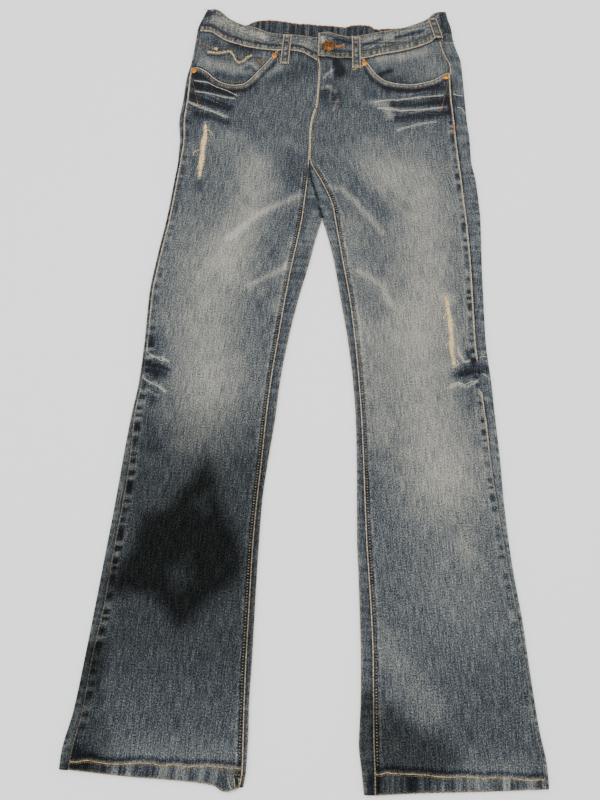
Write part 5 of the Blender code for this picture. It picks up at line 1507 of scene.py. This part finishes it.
def band_side(leg, y):
    """Points round the waistband's side fold, from the lower ply to the side seam."""
    edge, inset = leg.outer_fold(y), BAND_WALL / 2 + FOLD_DEPTH
    x_in = edge - leg.sign * inset
    turn = np.linspace(0, math.pi, ARC_STEPS + 1)
    arc = edge - leg.sign * (inset - FOLD_DEPTH * np.sin(turn))
    arc_z = mix(band_height(leg.sign, x_in, y), BAND_BACK_HEIGHT, 0.5 + 0.5 * np.cos(turn))
    seam = leg.outseam(y) + leg.sign * SEAM_GAP / 2
    wrap = mix(x_in, seam, np.arange(1, STRIP_STEPS + 1) / STRIP_STEPS)
    return np.concatenate([arc, wrap]), np.concatenate([arc_z, band_height(leg.sign, wrap, y)])


def on_band(sign, x, y):
    """Places of threads on the front waistband."""
    return raised(x, y, band_height(sign, x, y) + BAND_WALL / 2 + 0.25)


def band_sewing(side, leg):
    """Two rows above the seam, one below the top, and the left band's end and buttonhole."""
    sign = leg.sign
    x = np.linspace(-16, -198, 90) if sign < 0 else np.linspace(-9, 182, 90)
    seam, top = leg.band_seam(x), band_top[sign](x)
    second = mix(6.6, 10.0, smoothstep(38, 52, x)) if sign > 0 else 9.6
    rows = [("low_row", brown_thread, on_band(sign, x, seam + 2.2)),
            ("second_row", olive_thread if sign > 0 else umber_thread,
             on_band(sign, x, seam + second + 0.3 * ripple(x, 3))),
            ("top_row", brown_thread, on_band(sign, x, top - 1.8))]
    made = [sewn("waistband_%s_%s" % (name, side), [line], finish,
                 HEAVY_STITCH if name == "second_row" else TOPSTITCH)
            for name, finish, line in rows]
    if sign > 0:
        end = np.arange(1032.0, 1068.0, 1.5)
        hole = on_band(1, *route(through((9.5, 1045.2), (18, 1047), (26.5, 1048.8)), 1.0))
        made.append(sewn("waistband_end_row", [on_band(1, end * 0 - 11.2, end)], brown_thread,
                         TOPSTITCH))
        made.append(sewn("buttonhole", [hole + (0, -0.9, 0), hole + (0, 0.9, 0)], orange_thread,
                         BUTTONHOLE))
    return made


band_denim = denim("washed_denim_band", faded="#807a6c", grain=1.2)
for side, leg in LEGS.items():
    sign, gap = leg.sign, leg.sign * SEAM_GAP / 2
    rise, share = np.meshgrid(stops((0, 0.05, 0.025), (0.05, 0.95, 0.05), (0.95, 1, 0.025)),
                              stops((0, 0.94, 0.0105), (0.94, 1, 0.006)), indexing="ij")
    level = mix(*BAND_SIDE[sign], rise)
    x = mix(leg.outseam(level) - gap, centre_front(BAND_MIDDLE) + gap, share)
    y = mix(leg.band_seam(x) + SEAM_GAP / 2, band_top[sign](x), rise)
    y = mix(y, level, np.clip(1 - share * 12, 0, 1))
    z = band_height(sign, x, y)
    height = rise * BAND_HEIGHT
    ladder = bell(height - 5.5, 4)
    z = z + 0.22 * ladder * ripple(x * 1.15, 3) + 0.25 * np.sin(math.pi * rise)
    wear = 0.50 + wear_and_shade_at(BAND_WEAR[sign], x, y) + ladder * (0.02 + 0.27 * ripple(x * 1.15, 3))
    # Painted shade along the right band's second row of sewing
    wear -= 0.28 * bell(height - 9.6, 1.5) * (sign < 0)
    wear += 0.17 * ripple(0.35 * x + 2.0 * height, 4) * smoothstep(12, 16, height)
    wear -= 0.20 * bell(height - 11.5, 1.6)
    wear += 0.16 * bell(height - (BAND_HEIGHT - 3), 2.5) * ripple(x * 1.2, 9)
    buttoned = smoothstep(44, 36, x) * (sign > 0)
    tan = (0.85 - 0.6 * buttoned) * bell(height, 1.4)
    tan += 0.45 * bell(BAND_HEIGHT - height, 1.2)
    tan += 0.8 * bell(x - centre_front(BAND_MIDDLE), 1.5) * (sign > 0)
    band = cloth("waistband_cloth_" + side, x, y, z, band_denim, wall=BAND_WALL,
                 node_name="waistband_" + side, slot="denim_band", wear=wear, tan=tan)
    band_sewing(side, leg)

x, y = np.meshgrid(np.linspace(-13.9, 22, 16), np.linspace(1032, 1062, 12))
tab = cloth("waistband_cloth_tab", x, y, x * 0 + BAND_REST, band_denim, wall=BAND_WALL,
            node_name="waistband_tab", slot="denim_band", wear=x * 0 + 0.4)

rows = []
for rise in stops((0, 0.9, 0.06), (0.9, 1, 0.03)):
    right_x, right_z = band_side(RIGHT, mix(*BAND_SIDE[-1], rise))
    left_x, left_z = band_side(LEFT, mix(*BAND_SIDE[1], rise))
    middle = np.linspace(-175, 175, 170)
    wave = 0.3 * (1 + np.sin(middle * 0.16)) * rise + 0.3 * rise * ripple(middle * 0.9, 4)
    level = mix(band_seam_back(middle) + SEAM_GAP / 2, band_top_back(middle), rise)
    level += 0.7 * ripple(middle * 1.3, 5) * smoothstep(0.8, 1.0, rise)
    rows.append((np.concatenate([right_x[::-1], middle, left_x]),
                 np.concatenate([right_x * 0 + mix(*BAND_SIDE[-1], rise), level,
                                 left_x * 0 + mix(*BAND_SIDE[1], rise)]),
                 np.concatenate([right_z[::-1], BAND_BACK_HEIGHT + wave, left_z])))
x, y, z = grid(rows)
rise = (y - np.where(np.abs(x) < 176, band_seam_back(x), 1070)) / 42
wear = 0.26 + 0.20 * ripple(x * 0.8, 6) * smoothstep(0.2, 0.7, rise)
back = cloth("waistband_cloth_back", x, y, z, band_denim, wall=BAND_WALL,
             node_name="waistband_back", slot="denim_band", wear=wear)
# Its top edge has frayed orange overlocking
edge_x = np.linspace(-128, 128, 160)
edge = raised(edge_x, band_top_back(edge_x) + 0.7 * ripple(edge_x * 1.3, 5),
              BAND_BACK_HEIGHT + 0.9 + 0.3 * np.sin(edge_x * 0.16))
rust_thread = thread("overlock_rust", "#92581f", "#503010")
fray = [corded("waistband_overlock", [edge], rust_thread, 1.0, wobble=1.2),
        frayed("waistband_fray", [edge + (0, 0.4, 0)], rust_thread, 0.3, 1.3, edge_x * 0 + 1.2,
               2.4, spread=0.6)]

# Belt loops
# Folded strips over the band, stitched down at both ends, with worn edges. Those on the front
# lie a little above the band, and those on the back lie under it.
LOOP_WIDTH = 13.0
LOOP_SEAT = 0.6


def loop_cloth(name, node_name, x_at, low, high, height, face=1):
    """A loop from its lower end up: x_at(rise) is its middle and height(x, y) its level.

    face is 1 where its outer face looks up and -1 where it looks down.
    """
    rise, share = np.meshgrid(np.linspace(0, 1, 40), np.linspace(-0.5, 0.5, 15), indexing="ij")
    x = x_at(rise) + share * LOOP_WIDTH
    y = mix(low, high, rise)
    z = height(x, y, rise) + 0.12 * np.cos(share * 2 * math.pi * 2) * np.sin(math.pi * rise)
    wear = 0.50 + 0.26 * ripple(y * 0.9, 3) * bell(share, 0.22)
    wear -= 0.25 * bell(np.abs(share) - 0.3, 0.06)
    wear += 0.35 * bell(np.abs(rise - 0.5) - 0.47, 0.05)
    made = cloth(name, x, y, z, band_denim, node_name=node_name, slot="denim_band",
                 wear=wear, tan=0.8 * bell(np.abs(share) - 0.5, 0.09))
    run = np.linspace(0.03, 0.97, 30)
    rows = []
    for off in (-4.4, 4.4):
        row_x, row_y = x_at(run) + off, mix(low, high, run)
        out = 0.15 if face > 0 else -0.45
        rows.append(raised(row_x, row_y, height(row_x, row_y, run) + face * (WALL / 2 + out)))
    tacks = []
    for at in (0.05, 0.95):
        tack_x = x_at(at) + np.linspace(-5, 5, 8)
        tack_y = tack_x * 0 + mix(low, high, at)
        tacks.append(raised(tack_x, tack_y, height(tack_x, tack_y, at) + face * (WALL / 2 + 0.1)))
    pieces = [sewn(name + "_rows", rows, brown_thread, LOOP_STITCH),
              sewn(name + "_tacks", tacks, tan_thread, LOOP_TACK)]


def on_front_band(leg):
    """How high a loop over the front waistband lies, its lower end on the panel under it."""
    def height(x, y, rise):
        over_band = smoothstep(-9.0, -0.5, y - leg.band_seam(x))
        panel = front_height(leg, x, y) + WALL / 2
        band = band_height(leg.sign, x, y) + BAND_WALL / 2
        bulge = 0.8 * np.sin(math.pi * rise) ** 2
        return mix(panel, band, over_band) + LOOP_SEAT + WALL / 2 + bulge
    return height


def under_band(x, y, rise):
    """A loop on the back waistband, which the garment rests on."""
    return x * 0 + WALL / 2


loop_cloth("belt_loop_cloth_front_right", "loop_front_right", lambda r: mix(-66.3, -63, r),
           1014, 1066.5, on_front_band(RIGHT))
loop_cloth("belt_loop_cloth_front_left", "loop_front_left", lambda r: mix(46.8, 44.6, r),
           1010, 1066, on_front_band(LEFT))
loop_cloth("belt_loop_cloth_side_left", "loop_side_left", lambda r: mix(175.2, 164.6, r),
           1069, 1104.5, on_front_band(LEFT))
loop_cloth("belt_loop_cloth_side_right", "loop_side_right", lambda r: -176 + 14 * (r - 0.5),
           1052, 1100, under_band, face=-1)
loop_cloth("belt_loop_cloth_back", "loop_back", lambda r: r * 0, 1036, 1087, under_band,
           face=-1)

# Button and rivets
# The CAD's own turned pieces, in aged bronze and polished copper. A plain ring of beads round
# short petals stands in for the button's own raised design.
button_metal = metal("button_bronze", "#7d5530", "#24160b", 0.38)
rivet_metal = metal("rivet_copper", "#dd8d24", "#8a4c12", 0.30)
refinish("button", button_metal)
for rivet_name in ("right_inner", "right_outer", "left_inner", "left_outer"):
    refinish("rivet_" + rivet_name, rivet_metal)
turn = np.linspace(0, 2 * math.pi, 60)
button_top = button_high[2] / MM
for name, radius, drop, stitch in (
        ("button_beads", 5.1, 0.45, Stitch(0.0013, 0.0010, 0.0009, 0.0)),
        ("button_petals", 2.7, 0.15, Stitch(0.00283, 0.0028, 0.0011, math.pi / 2))):
    ring = raised(BUTTON_AT[0] + radius * np.cos(turn), BUTTON_AT[1] + radius * np.sin(turn),
                  button_top - drop)
    sewn(name, [ring], button_metal, stitch)


# Floor and light
# A plain pale floor under soft light from above.
floor_mesh = bpy.data.meshes.new("floor")
floor_mesh.from_pydata([(-6, -6, 0), (6, -6, 0), (6, 6, 0), (-6, 6, 0)], [], [(0, 1, 2, 3)])
floor = put("floor", floor_mesh)
paint, _, paint_shader = new_material("pale_floor")
paint_shader.inputs["Base Color"].default_value = linear("#f4f4f2")
paint_shader.inputs["Roughness"].default_value = 0.9
floor_mesh.materials.append(paint)

Lamp = namedtuple("Lamp", "name size power place")
for lamp in (Lamp("overhead", 1.6, 34.0, (0.3, 0.6, 2.2)),
             Lamp("fill", 2.2, 25.0, (-1.2, -0.8, 2.0))):
    light = bpy.data.lights.new(lamp.name, "AREA")
    light.size = lamp.size
    light.energy = lamp.power
    holder = put(lamp.name, light)
    holder.location = lamp.place
    holder.rotation_euler = (-Vector(lamp.place)).to_track_quat("-Z", "Y").to_euler()
world = bpy.data.worlds.new("studio")
world.use_nodes = True
sky = world.node_tree.nodes["Background"]
sky.inputs["Color"].default_value = linear("#f2f4f7")
sky.inputs["Strength"].default_value = 1.25
bpy.context.scene.world = world
